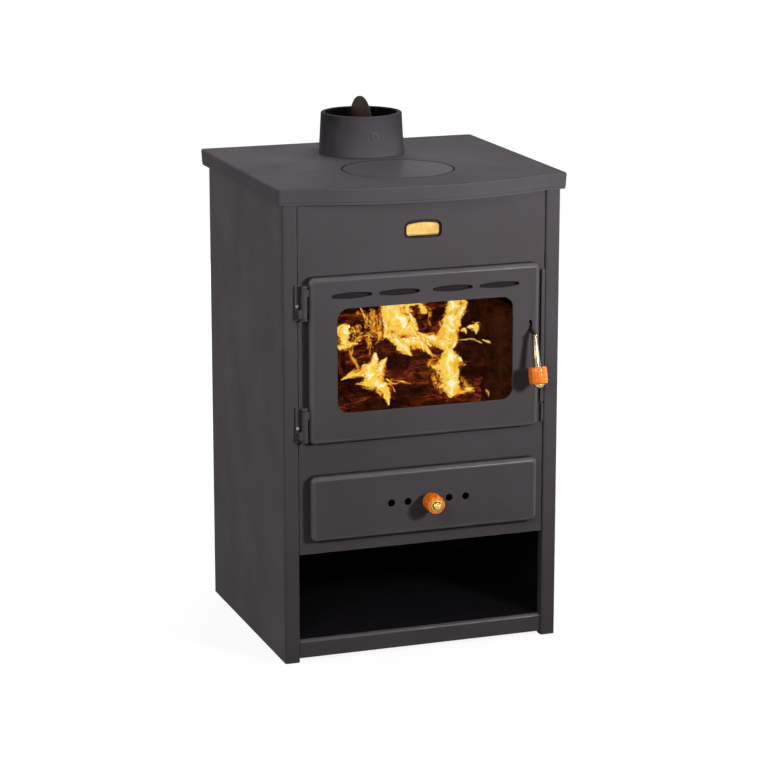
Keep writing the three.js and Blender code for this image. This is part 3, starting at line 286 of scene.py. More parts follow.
class Effect(Enum):
    """The shader node groups that several finishes share."""

    GRAIN = "paint_grain"
    WORN_EDGES = "worn_edges"
    UNEVEN_COLOUR = "uneven_colour"
    BRUSHED = "brushed_lines"
    SOOT = "soot_layer"


class EffectShelf:
    """Builds each shared node group once and places it in materials."""

    def __init__(self) -> None:
        """Starts with no group built."""
        self.built: dict[Effect, Tree] = {}

    def place(self, board: Board, effect: Effect, inputs: dict[str, object]) -> Outputs:
        """Places an effect's group in a material.

        Args:
            board: The material's board.
            effect: Which effect.
            inputs: Values or sockets for the group's inputs.

        Returns:
            The group's outputs.
        """
        if effect not in self.built:
            self.built[effect] = self.build(effect)
        return board.node("ShaderNodeGroup", inputs, node_tree=self.built[effect]).outputs

    def skin(self, board: Board, place: Socket, size: float, lumps: float) -> Outputs:
        """Places the grain and returns its height and tone."""
        return self.place(board, Effect.GRAIN, {"Vector": place, "Size": size, "Lumps": lumps})

    def lines(self, board: Board, drawn: Socket, size: float) -> Outputs:
        """Places the brushed lines and returns their height and tone."""
        return self.place(board, Effect.BRUSHED, {"Vector": drawn, "Size": size})

    def clouds(
        self, board: Board, place: Socket, colour: Colour, deep: Colour, size: float, specks: float
    ) -> Socket:
        """Places the uneven colour and returns it."""
        inputs = {"Vector": place, "Colour": colour, "Deep": deep, "Size": size, "Specks": specks}
        return self.place(board, Effect.UNEVEN_COLOUR, inputs)["Colour"]

    def rubbed(self, board: Board, place: Socket, radius: float, amount: float) -> Socket:
        """Places the worn edges and returns their mask."""
        inputs = {"Vector": place, "Radius": radius, "Amount": amount}
        return self.place(board, Effect.WORN_EDGES, inputs)["Mask"]

    def build(self, effect: Effect) -> Tree:
        """Builds one effect's node group.

        Args:
            effect: Which effect.

        Returns:
            The group's tree.
        """
        tree = bpy.data.node_groups.new(effect.value, "ShaderNodeTree")
        makers = (self.grain, self.worn_edges, self.uneven_colour, self.brushed, self.soot)
        dict(zip(Effect, makers, strict=True))[effect](tree)
        return tree

    @staticmethod
    def sockets(
        tree: Tree, inputs: dict[str, float | Colour], outputs: Sequence[str]
    ) -> tuple[Board, dict[str, Socket], Node]:
        """Gives a group its sockets, with a vector as the first input.

        Args:
            tree: The group's tree.
            inputs: Each further input's default: a number or a colour.
            outputs: The outputs' names. One that is called Colour is a colour, and the others are numbers.

        Returns:
            The board, the input sockets by name, and the output node.
        """
        tree.interface.new_socket("Vector", in_out="INPUT", socket_type="NodeSocketVector")
        for name, default in inputs.items():
            coloured = isinstance(default, tuple)
            kind = "NodeSocketColor" if coloured else "NodeSocketFloat"
            made = tree.interface.new_socket(name, in_out="INPUT", socket_type=kind)
            made.default_value = (*default, 1.0) if coloured else default
        for name in outputs:
            kind = "NodeSocketColor" if name == "Colour" else "NodeSocketFloat"
            tree.interface.new_socket(name, in_out="OUTPUT", socket_type=kind)
        board = Board(tree)
        given = board.node("NodeGroupInput").outputs
        return board, {name: given[name] for name in ("Vector", *inputs)}, board.node("NodeGroupOutput")

    def grain(self, tree: Tree) -> None:
        """Fine sprayed or cast grain: a height for a bump, and a slow tone for the roughness.

        Args:
            tree: The group's node tree.
        """
        board, given, out = self.sockets(tree, {"Size": 900.0, "Lumps": 0.3}, ("Height", "Tone"))
        fine = board.noise(given["Vector"], given["Size"], 2.0, 0.6)
        coarse = board.noise(given["Vector"], board.scaled_sum(given["Size"], 0.16), 3.0)
        terms = {"Factor": given["Lumps"], "A": fine, "B": coarse}
        height = board.node("ShaderNodeMix", terms, data_type="FLOAT").outputs["Result"]
        board.fill(out, {"Height": height, "Tone": board.noise(given["Vector"], 14.0, 4.0, 0.6)})

    def worn_edges(self, tree: Tree) -> None:
        """A mask that is 1 on edges that hands and tools rub, broken up by a noise.

        Args:
            tree: The group's node tree.
        """
        board, given, out = self.sockets(tree, {"Radius": 0.0012, "Amount": 0.6}, ("Mask",))
        soft = board.node("ShaderNodeBevel", {"Radius": given["Radius"]}, samples=4)
        sides = {0: soft.outputs[0], 1: board.node("ShaderNodeNewGeometry").outputs["Normal"]}
        both = board.node("ShaderNodeVectorMath", sides, operation="DOT_PRODUCT")
        edge = board.remap(both.outputs["Value"], 0.99, 0.86, 0.0, 1.0)
        patches = board.remap(board.noise(given["Vector"], 60.0, 4.0, 0.65), 0.35, 0.7, 0.25, 1.0)
        broken = board.math("MULTIPLY", edge, patches)
        board.fill(out, {"Mask": board.math("MULTIPLY", broken, given["Amount"])})

    def uneven_colour(self, tree: Tree) -> None:
        """A colour that drifts a little darker and lighter in wide clouds and fine specks.

        Args:
            tree: The group's node tree.
        """
        inputs = {"Colour": (0.1, 0.1, 0.1), "Deep": (0.05, 0.05, 0.05), "Size": 7.0, "Specks": 0.2}
        board, given, out = self.sockets(tree, inputs, ("Colour",))
        clouds = board.remap(board.noise(given["Vector"], given["Size"], 5.0, 0.6), 0.32, 0.68, 0.0, 1.0)
        specks = board.remap(board.noise(given["Vector"], 700.0, 1.0), 0.4, 0.7, 0.0, 1.0)
        specks = board.math("MULTIPLY", specks, given["Specks"])
        share = board.math("ADD", board.math("MULTIPLY", clouds, 0.8), specks)
        board.fill(out, {"Colour": board.mix(share, given["Colour"], given["Deep"])})

    def brushed(self, tree: Tree) -> None:
        """Fine parallel lines for turned or brushed metal, along an axis that the vector stretches.

        Args:
            tree: The group's node tree.
        """
        board, given, out = self.sockets(tree, {"Size": 400.0}, ("Height", "Tone"))
        lines = board.noise(given["Vector"], given["Size"], 4.0, 0.7)
        board.fill(out, {"Height": lines, "Tone": board.remap(lines, 0.3, 0.7, 0.0, 1.0)})

    def soot(self, tree: Tree) -> None:
        """Soot on a colour, thickest high in the firebox and in drifting patches.

        Args:
            tree: The group's node tree.
        """
        inputs = {"Colour": (0.3, 0.3, 0.3), "Soot": (0.01, 0.01, 0.01), "Low": 0.3, "High": 0.5}
        board, given, out = self.sockets(tree, inputs, ("Colour", "Mask"))
        height = board.node("ShaderNodeSeparateXYZ", {0: given["Vector"]}).outputs["Z"]
        rise = board.remap(height, given["Low"], given["High"], 0.0, 1.0)
        patches = board.remap(board.noise(given["Vector"], 16.0, 5.0, 0.65), 0.3, 0.7, 0.2, 1.1)
        mask = board.math("MULTIPLY", board.math("ADD", rise, 0.25), patches)
        board.fill(out, {"Colour": board.mix(mask, given["Colour"], given["Soot"]), "Mask": mask})


# Finishes


FLAME_MARKS = ("glow", "across", "along")
"""What a flame's mesh holds at each point: how hot it is, and how far it is across and along the flame."""


class Look(Enum):
    """Every finish on the stove."""

    PAINT = "stove_paint"
    CAST = "cast_paint"
    # Near-black paint on inner sides and deep insides: painted shade.
    INNER = "inner_painted_shade"
    # The darker paint of the plate behind the air slots: painted shade.
    SHADE = "slot_plate_painted_shade"
    IRON = "raw_iron"
    SMOKED = "smoked_iron"
    BRICK = "firebrick"
    BRASS = "polished_brass"
    # Brass whose dark streaks are painted reflections.
    HANDLE_BRASS = "brass_painted_reflections"
    BLACKENED = "blackened_steel"
    ZINC = "zinc_steel"
    AMBER = "amber_wood"
    ROPE = "seal_rope"
    GLASS = "ceramic_glass"
    BARK = "charred_bark"
    EMBER = "ember_bed"
    FLAME = "flame"


@dataclass(frozen=True)
class Finish:
    """A finish: what feeds the Principled shader of its material."""

    look: Look

    def inputs(self, board: Board, shelf: EffectShelf, place: Socket) -> dict[str, object]:
        """Adds the finish's nodes.

        Args:
            board: The material's board.
            shelf: The shared effects.
            place: The object coordinates.

        Returns:
            A value or a socket for each of the shader's inputs that the finish sets.
        """
        raise NotImplementedError

    def build(self, shelf: EffectShelf) -> Material:
        """Builds the finish's material.

        Args:
            shelf: The shared effects.

        Returns:
            The material.
        """
        material = bpy.data.materials.new(self.look.value)
        board = Board.cleared(material)
        inputs = self.inputs(board, shelf, board.node("ShaderNodeTexCoord").outputs["Object"])
        shader = board.node("ShaderNodeBsdfPrincipled", inputs)
        board.node("ShaderNodeOutputMaterial", {"Surface": shader.outputs["BSDF"]})
        return material


@dataclass(frozen=True)
class SprayedPaint(Finish):
    """Heat-proof paint: fine grain, slow clouds of colour, rubbed edges, glossy rims with a painted
    highlight, and painted shade in gaps.

    The mesh's rim attribute is above zero where a highlight is painted on a rim, and below zero where shade
    is painted, as in the gap behind a pressed rim.
    """

    colour: Colour
    deep: Colour
    # The colour of rubbed edges, which also serves as the painted highlight on rims.
    rubbed: Colour
    roughness: float = 0.72
    gloss: float = 0.08
    rim_gloss: float = 0.45
    grain_size: float = 1300.0
    lumps: float = 0.25
    bump: float = 0.12
    bump_depth: float = 0.0002
    wear: float = 0.5
    wear_radius: float = 0.0012

    def inputs(self, board: Board, shelf: EffectShelf, place: Socket) -> dict[str, object]:
        """Adds the paint's nodes and returns the shader's inputs.

        Args:
            board: The material's board.
            shelf: The shared effects.
            place: The point's coordinates.

        Returns:
            The shader's inputs, by name.
        """
        grain = shelf.skin(board, place, self.grain_size, self.lumps)
        clouds = shelf.clouds(board, place, self.colour, self.deep, 6.0, 0.25)
        edges = shelf.rubbed(board, place, self.wear_radius, self.wear)
        rubbed = board.mix(edges, clouds, self.rubbed)
        rough = self.roughness
        # Above zero the rim attribute paints a highlight and adds gloss; below zero it paints shade.
        rim = board.written("rim")
        patches = board.remap(board.noise(place, 30.0, 4.0, 0.6), 0.3, 0.7, 0.6, 1.0)
        # The painted highlight's mask, in patches, which also sets the rims' gloss.
        worn = board.math("MULTIPLY", board.math("MULTIPLY", rim, 1.0), patches)
        with_painted_highlight = board.mix(board.math("MULTIPLY", worn, 0.4), rubbed, self.rubbed)
        # The painted shade's mask, for gaps and hollows.
        painted_shade = board.math("MULTIPLY", board.math("MULTIPLY", rim, -0.85), patches)
        return {
            "Base Color": board.mix(painted_shade, with_painted_highlight, shade(self.deep, 0.12)),
            "Coat Weight": board.math("MULTIPLY", worn, self.rim_gloss),
            "Coat Roughness": 0.3,
            "Roughness": board.remap(grain["Tone"], 0.3, 0.7, rough - 0.06, rough + 0.06),
            "Specular IOR Level": self.gloss,
            "Normal": board.bump(grain["Height"], self.bump, self.bump_depth),
        }


@dataclass(frozen=True)
class SmokedCasting(Finish):
    """Bare iron or firebrick inside the fire: soot in patches, rust tints, a rough skin and, where firelight
    is given, a flickering glow that paints the fire's light on it.
    """

    colour: Colour
    tint: Colour
    soot: Colour
    roughness: float = 0.85
    metallic: float = 0.0
    low: float = 0.3
    high: float = 0.5
    bump: float = 0.5
    bump_depth: float = 0.0008
    grain_size: float = 260.0
    firelight: Colour = (0.0, 0.0, 0.0)

    def inputs(self, board: Board, shelf: EffectShelf, place: Socket) -> dict[str, object]:
        """Adds the casting's nodes and returns the shader's inputs.

        Args:
            board: The material's board.
            shelf: The shared effects.
            place: The point's coordinates.

        Returns:
            The shader's inputs, by name.
        """
        base = shelf.clouds(board, place, self.colour, self.tint, 22.0, 0.5)
        layer = {"Vector": place, "Colour": base, "Soot": self.soot, "Low": self.low, "High": self.high}
        sooted = shelf.place(board, Effect.SOOT, layer)
        # A flickering emission paints the fire's light on the surface; it stays black unless firelight is
        # given.
        flicker = board.noise(board.stretch(place, (0.3, 0.3, 1.0)), 230.0, 6.0, 0.72)
        lit = [(0.0, shade(self.firelight, 0.04)), (0.45, shade(self.firelight, 0.3)), (1.0, self.firelight)]
        grain = shelf.skin(board, place, self.grain_size, 0.6)
        return {
            "Base Color": sooted["Colour"],
            "Emission Color": board.ramp(board.remap(flicker, 0.4, 0.74, 0.0, 1.0), lit),
            "Emission Strength": 1.0,
            "Roughness": board.remap(sooted["Mask"], 0.0, 1.0, self.roughness - 0.1, 0.98),
            "Metallic": self.metallic,
            "Specular IOR Level": 0.06,
            "Normal": board.bump(grain["Height"], self.bump, self.bump_depth),
        }


@dataclass(frozen=True)
class TurnedMetal(Finish):
    """Brass or zinc-plated steel with fine tool lines, tarnished clouds, bright rubbed edges and, where
    asked, dark streaks along the lines that paint reflections.
    """

    colour: Colour
    # Tarnish in clouds, and the colour of any painted dark reflections.
    tarnish_and_dark_reflection: Colour
    roughness: float
    stretch: Triple = (1.0, 1.0, 12.0)
    bump: float = 0.05
    wear: float = 0.5
    line_size: float = 300.0
    reflection_streaks: float = 0.0

    def inputs(self, board: Board, shelf: EffectShelf, place: Socket) -> dict[str, object]:
        """Adds the metal's nodes and returns the shader's inputs.

        Args:
            board: The material's board.
            shelf: The shared effects.
            place: The point's coordinates.

        Returns:
            The shader's inputs, by name.
        """
        clouds = shelf.clouds(board, place, self.colour, self.tarnish_and_dark_reflection, 40.0, 0.2)
        drawn = board.stretch(place, self.stretch)
        lines = shelf.lines(board, drawn, self.line_size)
        # Dark streaks along the tool lines paint reflections of dark surroundings; only the handle's brass
        # asks for them.
        streaked = board.math("MULTIPLY", lines["Tone"], self.reflection_streaks)
        lined = board.mix(streaked, clouds, self.tarnish_and_dark_reflection)
        edges = shelf.rubbed(board, place, 0.0007, self.wear)
        return {
            "Base Color": board.mix(edges, lined, shade(self.colour, 1.15)),
            "Roughness": board.remap(lines["Tone"], 0.0, 1.0, self.roughness, self.roughness + 0.1),
            "Metallic": 1.0,
            "Normal": board.bump(lines["Height"], self.bump, 0.00008),
        }


@dataclass(frozen=True)
class LacqueredWood(Finish):
    """Turned wood under an amber lacquer: growth lines along the grip and a glossy coat."""

    light: Colour
    dark: Colour

    def inputs(self, board: Board, shelf: EffectShelf, place: Socket) -> dict[str, object]:
        """Adds the wood's nodes and returns the shader's inputs.

        Args:
            board: The material's board.
            shelf: The shared effects.
            place: The point's coordinates.

        Returns:
            The shader's inputs, by name.
        """
        drawn = board.stretch(place, (1.0, 0.35, 0.22))
        fibres = shelf.lines(board, drawn, 520.0)
        wide = board.remap(board.noise(drawn, 130.0, 3.0), 0.35, 0.65, 0.0, 0.5)
        share = board.math("ADD", board.math("MULTIPLY", fibres["Tone"], 0.36), wide)
        return {
            "Base Color": board.mix(share, self.light, self.dark),
            "Roughness": board.remap(fibres["Tone"], 0.0, 1.0, 0.28, 0.42),
            "Specular IOR Level": 0.0,
            "Coat Weight": 0.6,
            "Coat Roughness": 0.05,
            "Normal": board.bump(fibres["Height"], 0.1, 0.0001),
        }


@dataclass(frozen=True)
class WovenRope(Finish):
    """Glass-fibre rope and tape: a tight diagonal weave, grey with soot."""

    colour: Colour
    deep: Colour

    def inputs(self, board: Board, shelf: EffectShelf, place: Socket) -> dict[str, object]:
        """Adds the rope's nodes and returns the shader's inputs.

        Args:
            board: The material's board.
            shelf: The shared effects.
            place: The point's coordinates.

        Returns:
            The shader's inputs, by name.
        """
        turned = board.node("ShaderNodeMapping", {"Vector": place, "Rotation": (0.0, math.radians(45), 0.0)})
        strands = {"Vector": turned.outputs["Vector"], "Scale": 420.0, "Distortion": 1.0}
        one, other = [board.node("ShaderNodeTexWave", strands, bands_direction=way) for way in "XZ"]
        weave = board.math("MULTIPLY", one.outputs["Fac"], other.outputs["Fac"])
        clouds = shelf.clouds(board, place, self.colour, self.deep, 30.0, 0.4)
        return {
            "Base Color": board.mix(weave, clouds, self.deep),
            "Roughness": board.remap(weave, 0.0, 1.0, 0.85, 1.0),
            "Normal": board.bump(weave, 0.6, 0.0005),
        }


@dataclass(frozen=True)
class CeramicGlass(Finish):
    """Clear ceramic glass with a trace of smoke in soft clouds."""

    tint: Colour
    smoke: Colour

    def inputs(self, board: Board, shelf: EffectShelf, place: Socket) -> dict[str, object]:
        """Adds the glass's nodes and returns the shader's inputs."""
        return {
            "Base Color": shelf.clouds(board, place, self.tint, self.smoke, 9.0, 0.0),
            "Roughness": board.remap(board.noise(place, 25.0, 4.0), 0.3, 0.8, 0.0, 0.02),
            "Transmission Weight": 1.0,
            "IOR": 1.04,
        }


@dataclass(frozen=True)
class CharredBark(Finish):
    """A log in the fire: black char in plates, brown bark between, glowing cracks, and the flames' light
    painted on as a dim glow.
    """

    char: Colour
    bark: Colour
    glow: Colour
    firelight: Colour = (0.078, 0.0125, 0.004)
    glow_share: float = 0.62
    strength: float = 1.0

    def heat(self, board: Board, place: Socket, plates: Socket) -> Socket:
        """Returns each point's glow: cracks between plates, fibres and sparks, in wide patches, with the
        lowest values painting the flames' light.

        Args:
            board: The material's board.
            place: The point's coordinates.
            plates: The distance to the nearest crack.

        Returns:
            The heat, where 1 is glowing.
        """
        cracks = board.remap(plates, 0.0, 0.11, 1.0, 0.0)
        patchy = board.noise(place, 26.0, 4.0, 0.7)
        patches = board.remap(patchy, self.glow_share - 0.12, self.glow_share + 0.1, 0.0, 1.0)
        cracked = board.math("MULTIPLY", patches, board.math("ADD", cracks, 0.25))
        stretched = board.stretch(place, (0.28, 1.0, 1.0))
        fibres = board.remap(board.noise(stretched, 260.0, 6.0, 0.76), 0.42, 0.7, 0.0, 0.78)
        sparks = board.remap(board.noise(place, 420.0, 2.0, 0.6), 0.655, 0.72, 0.0, 0.9)
        lit = board.remap(board.noise(stretched, 34.0, 3.0, 0.6), 0.42, 0.58, 0.1, 1.2)
        brightest = board.math("MAXIMUM", board.math("MAXIMUM", fibres, cracked), sparks)
        return board.math("MULTIPLY", lit, brightest)

    def inputs(self, board: Board, shelf: EffectShelf, place: Socket) -> dict[str, object]:
        """Adds the log's nodes and returns the shader's inputs.

        Args:
            board: The material's board.
            shelf: The shared effects.
            place: The point's coordinates.

        Returns:
            The shader's inputs, by name.
        """
        cells = {"Vector": board.stretch(place, (0.5, 1.0, 1.0)), "Scale": 110.0}
        plates = board.node("ShaderNodeTexVoronoi", cells, feature="DISTANCE_TO_EDGE").outputs["Distance"]
        # The low stops paint the flames' light on the log; the high stops are the cracks' own glow.
        lit = [(at, shade(self.firelight, factor)) for at, factor in ((0.0, 0.05), (0.2, 0.5), (0.44, 2.2))]
        stops = [*lit, (0.64, shade(self.glow, 0.26)), (1.0, self.glow)]
        return {
            "Base Color": shelf.clouds(board, place, self.bark, self.char, 45.0, 0.6),
            "Emission Color": board.ramp(self.heat(board, place, plates), stops),
            "Emission Strength": self.strength,
            "Specular IOR Level": 0.0,
            "Roughness": board.remap(plates, 0.0, 0.3, 1.0, 0.75),
            "Normal": board.bump(plates, 0.9, 0.002),
        }


@dataclass(frozen=True)
class LiveFlame(Finish):
    """A flame: pale in its heart, yellow round it and orange at its ragged rim, by the mesh's attributes."""

    rim: Colour
    edge: Colour
    body: Colour
    hot: Colour
    heart: Colour
    strength: float = 1.15

    def inputs(self, board: Board, shelf: EffectShelf, place: Socket) -> dict[str, object]:
        """Adds the flame's nodes and returns the shader's inputs.

        Args:
            board: The material's board.
            shelf: The shared effects.
            place: The point's coordinates.

        Returns:
            The shader's inputs, by name.
        """
        heat, across, along = (board.written(name) for name in FLAME_MARKS)
        apart = board.node("ShaderNodeSeparateXYZ", {0: place}).outputs["Y"]
        spot = board.node("ShaderNodeCombineXYZ", {0: across, 1: along, 2: apart}).outputs[0]
        licks = board.noise(board.stretch(spot, (110.0, 24.0, 900.0)), 1.0, 2.5, 0.5)
        wisps = board.noise(board.stretch(spot, (420.0, 60.0, 1700.0)), 1.0, 4.0, 0.66)
        gaps = board.noise(board.stretch(spot, (210.0, 62.0, 700.0)), 1.0, 4.0, 0.6)
        licks = board.remap(licks, 0.3, 0.7, -0.5, 0.42)
        wisps = board.remap(wisps, 0.28, 0.72, -0.42, 0.3)
        gaps = board.remap(gaps, 0.32, 0.68, -0.46, 0.34)
        ragged = board.math("ADD", heat, board.scaled_sum(gaps, 1.0, wisps))
        warm = board.scaled_sum(board.scaled_sum(wisps, 0.3, licks), 1.2, heat)
        stops = [
            (0.0, shade(self.rim, 0.3)), (0.08, self.rim), (0.16, self.edge), (0.3, self.body),
            (0.7, self.hot), (1.0, self.heart),
        ]
        return {
            "Emission Color": board.ramp(board.math("MULTIPLY", warm, 0.87), stops),
            "Emission Strength": self.strength,
            "Base Color": (0.0, 0.0, 0.0),
            "Specular IOR Level": 0.0,
            "Roughness": 1.0,
            "Alpha": board.remap(ragged, 0.08, 0.52, 0.0, 0.96),
        }


FINISHES = (
    SprayedPaint(Look.PAINT, srgb(72, 68, 71), srgb(66, 61, 63), srgb(96, 92, 96), gloss=0.05),
    SprayedPaint(
        Look.CAST, srgb(78, 74, 78), srgb(69, 65, 69), srgb(104, 100, 105), roughness=0.85, gloss=0.03,
        grain_size=700.0, lumps=0.45, bump=0.22, bump_depth=0.0003, wear=0.4,
    ),
    # Near-black: painted shade on inner sides, hollows and parts deep inside the stove.
    SprayedPaint(Look.INNER, srgb(17, 14, 18), srgb(10, 7, 11), srgb(32, 28, 32), roughness=0.85),
    # Darker than the door's paint: painted shade on the plate behind the slots.
    SprayedPaint(Look.SHADE, srgb(38, 34, 39), srgb(30, 27, 30), srgb(48, 45, 49), roughness=0.8),
    SmokedCasting(
        Look.IRON, srgb(58, 50, 46), srgb(72, 46, 32), srgb(12, 9, 9), metallic=0.3, low=0.2, high=1.4,
    ),
    SmokedCasting(
        Look.SMOKED, srgb(48, 36, 32), srgb(60, 38, 28), srgb(14, 10, 10), roughness=0.7, low=0.4, high=1.6,
    ),
    # The brick's firelight paints the fire's light on it as a flickering glow.
    SmokedCasting(
        Look.BRICK, srgb(78, 48, 34), srgb(52, 28, 20), srgb(12, 7, 6), low=0.15, high=0.28,
        firelight=(0.07, 0.0135, 0.004),
    ),
    TurnedMetal(Look.BRASS, srgb(232, 200, 122), srgb(180, 138, 62), 0.16),
    # The dark second colour, drawn out in streaks along the rod, paints dark reflections between bright
    # lines.
    TurnedMetal(
        Look.HANDLE_BRASS, srgb(222, 200, 152), srgb(58, 42, 24), 0.14, stretch=(1.0, 1.0, 0.05),
        line_size=260.0, reflection_streaks=0.95,
    ),
    TurnedMetal(Look.BLACKENED, srgb(78, 70, 64), srgb(44, 38, 36), 0.36),
    TurnedMetal(Look.ZINC, srgb(150, 146, 142), srgb(104, 98, 92), 0.3),
    LacqueredWood(Look.AMBER, srgb(255, 138, 22), srgb(186, 62, 4)),
    WovenRope(Look.ROPE, srgb(70, 66, 60), srgb(30, 27, 24)),
    CeramicGlass(Look.GLASS, (0.98, 0.93, 0.86), (0.9, 0.78, 0.64)),
    CharredBark(Look.BARK, srgb(20, 10, 9), srgb(66, 34, 24), (1.0, 0.16, 0.02)),
    CharredBark(
        Look.EMBER, srgb(30, 14, 12), srgb(70, 36, 26), (1.0, 0.22, 0.03), glow_share=0.5, strength=1.2,
    ),
    LiveFlame(
        Look.FLAME, rim=(0.62, 0.09, 0.004), edge=(0.9, 0.31, 0.016), body=(0.84, 0.5, 0.045),
        hot=(0.87, 0.67, 0.13), heart=(1.0, 0.95, 0.72),
    ),
)


SHEET = (Look.PAINT, Look.INNER)
# A painted sheet's outer finish, and the near-black inner finish that paints shade on its inner side.
"""A painted sheet's outer and inner finish."""

CASTING = (Look.CAST, Look.INNER)
# A painted casting's outer finish, and the near-black inner finish that paints shade inside it.
"""A painted casting's outer and inner finish."""

FORWARDS = (0, -1, 0)
"""The way the stove's front looks."""


class Palette:
    """Every finish's material, by look."""

    def __init__(self) -> None:
        """Builds the materials."""
        shelf = EffectShelf()
        self.materials = {finish.look: finish.build(shelf) for finish in FINISHES}

    def __getitem__(self, look: Look) -> Material:
        """Returns a look's material."""
        return self.materials[look]

    def dress(self, frame: dict, looks: dict[Look, Sequence[str]]) -> None:
        """Gives frame nodes that stay as they are their finish.

        Args:
            looks: For each look, the nodes that take it.
        """
        for look, nodes in looks.items():
            for node in nodes:
                mesh = frame["nodes"][node].data
                mesh.materials.clear()
                mesh.materials.append(self[look])
                log.info("dressed %s in %s", node, look.value)


# Mesh making


class Plane(Enum):
    """How a flat outline of (u, v) points lies in the stove, with w square to it."""

    FRONT = "u right, v up, w back"
    PLAN = "u right, v back, w up"
    SIDE = "u back, v up, w right"

    def place(self, u: float, v: float, w: float) -> Vector:
        """Returns a point of the outline in the stove's frame."""
        spots = {Plane.FRONT: (u, w, v), Plane.PLAN: (u, v, w), Plane.SIDE: (w, u, v)}
        return Vector(spots[self])


def rounded_outline(
    width: float, height: float, radius: float, centre: Point = (0, 0), steps: int = 8
) -> list[Point]:
    """Makes a rectangle's outline with round corners.

    Args:
        width: Its full width.
        height: Its full height.
        radius: The corners' radius.
        centre: Its middle.
        steps: Segments in each corner.

    Returns:
        The outline's points in order.
    """
    bm = bmesh.new()
    corners = bmesh.ops.create_grid(bm, x_segments=1, y_segments=1, size=0.5)["verts"]
    bmesh.ops.scale(bm, vec=(width, height, 1.0), verts=corners)
    if radius > 0:
        bmesh.ops.bevel(
            bm, geom=corners, offset=radius, offset_type="OFFSET", segments=steps, profile=0.5,
            affect="VERTICES", material=-1,
        )
    bm.faces.ensure_lookup_table()
    points = [(v.co.x + centre[0], v.co.y + centre[1]) for v in bm.faces[0].verts]
    bm.free()
    return points


def round_outline(radius: float, centre: Point = (0, 0), steps: int = 96) -> list[Point]:
    """Returns a circle's points in order.

    Args:
        radius: The circle's radius.
        centre: The circle's middle.
        steps: How many points.

    Returns:
        The circle's points.
    """
    bm = bmesh.new()
    made = bmesh.ops.create_circle(bm, cap_ends=False, radius=radius, segments=steps)["verts"]
    points = [(v.co.x + centre[0], v.co.y + centre[1]) for v in made]
    bm.free()
    return points


def shrink(points: Sequence[Point], distance: float) -> list[Point]:
    """Draws a closed outline in by a distance.

    Args:
        points: The outline's points in order.
        distance: How far its sides move inwards. Below zero they move out.

    Returns:
        The new outline.
    """
    if not distance:
        return list(points)
    area = sum(a[0] * b[1] - b[0] * a[1] for a, b in zip(points, [*points[1:], points[0]], strict=True))
    way = math.copysign(distance, area)
    moved = []
    for i, point in enumerate(points):
        before = Vector(point) - Vector(points[i - 1])
        after = Vector(points[(i + 1) % len(points)]) - Vector(point)
        one = Vector((-before.y, before.x)).normalized()
        other = Vector((-after.y, after.x)).normalized()
        mitre = one + other
        spot = Vector(point) + mitre * (2 * way / mitre.length_squared)
        moved.append((spot.x, spot.y))
    return moved


def refined(points: Sequence[Point], level: float, steps: int) -> list[Point]:
    """Divides the straight side of an outline that lies at one height.

    Args:
        points: The outline's points in order.
        level: The side's height.
        steps: How many parts it gets.

    Returns:
        The outline with the new points.
    """
    dense: list[Point] = []
    for (u, v), (next_u, next_v) in zip(points, [*points[1:], points[0]], strict=True):
        dense.append((u, v))
        if max(abs(v - level), abs(next_v - level)) < SAME:
            dense += [(u + (next_u - u) * k / steps, v) for k in range(1, steps)]
    return dense


def laid(start: Sequence[float], end: Sequence[float]) -> Matrix:
    """Returns the matrix that lays what stands on the z axis, with its middle at zero, between two points."""
    turn = (Vector(end) - Vector(start)).to_track_quat("Z", "Y").to_matrix().to_4x4()
    return Matrix.Translation((Vector(start) + Vector(end)) / 2) @ turn


def add_object(name: str, data: bpy.types.ID) -> bpy.types.Object:
    """Puts a mesh, lamp or camera into the scene and returns its object.

    Args:
        name: The object's name.
        data: The mesh, lamp or camera.

    Returns:
        The object.
    """
    made = bpy.data.objects.new(name, data)
    bpy.context.scene.collection.objects.link(made)
    return made


RIM_PAINTED_LIGHT = (0.0, 0.45, 0.8, 1.0, 1.0, 0.75, 0.1, -0.75)
# The painted highlight, above zero, and painted shade, below zero, on a pressed rim from its face to its
# wall.
"""How rubbed or dirty a pressed rim is from its face to its wall."""


def quarter_round(radius: float, steps: int) -> list[Point]:
    """Returns a rounded rim's inset and depth at each step, from its flat top outwards."""
    angles = [math.pi / 2 * i / steps for i in range(steps + 1)]
    return [(radius * (1 - math.sin(a)), radius * (1 - math.cos(a))) for a in angles]


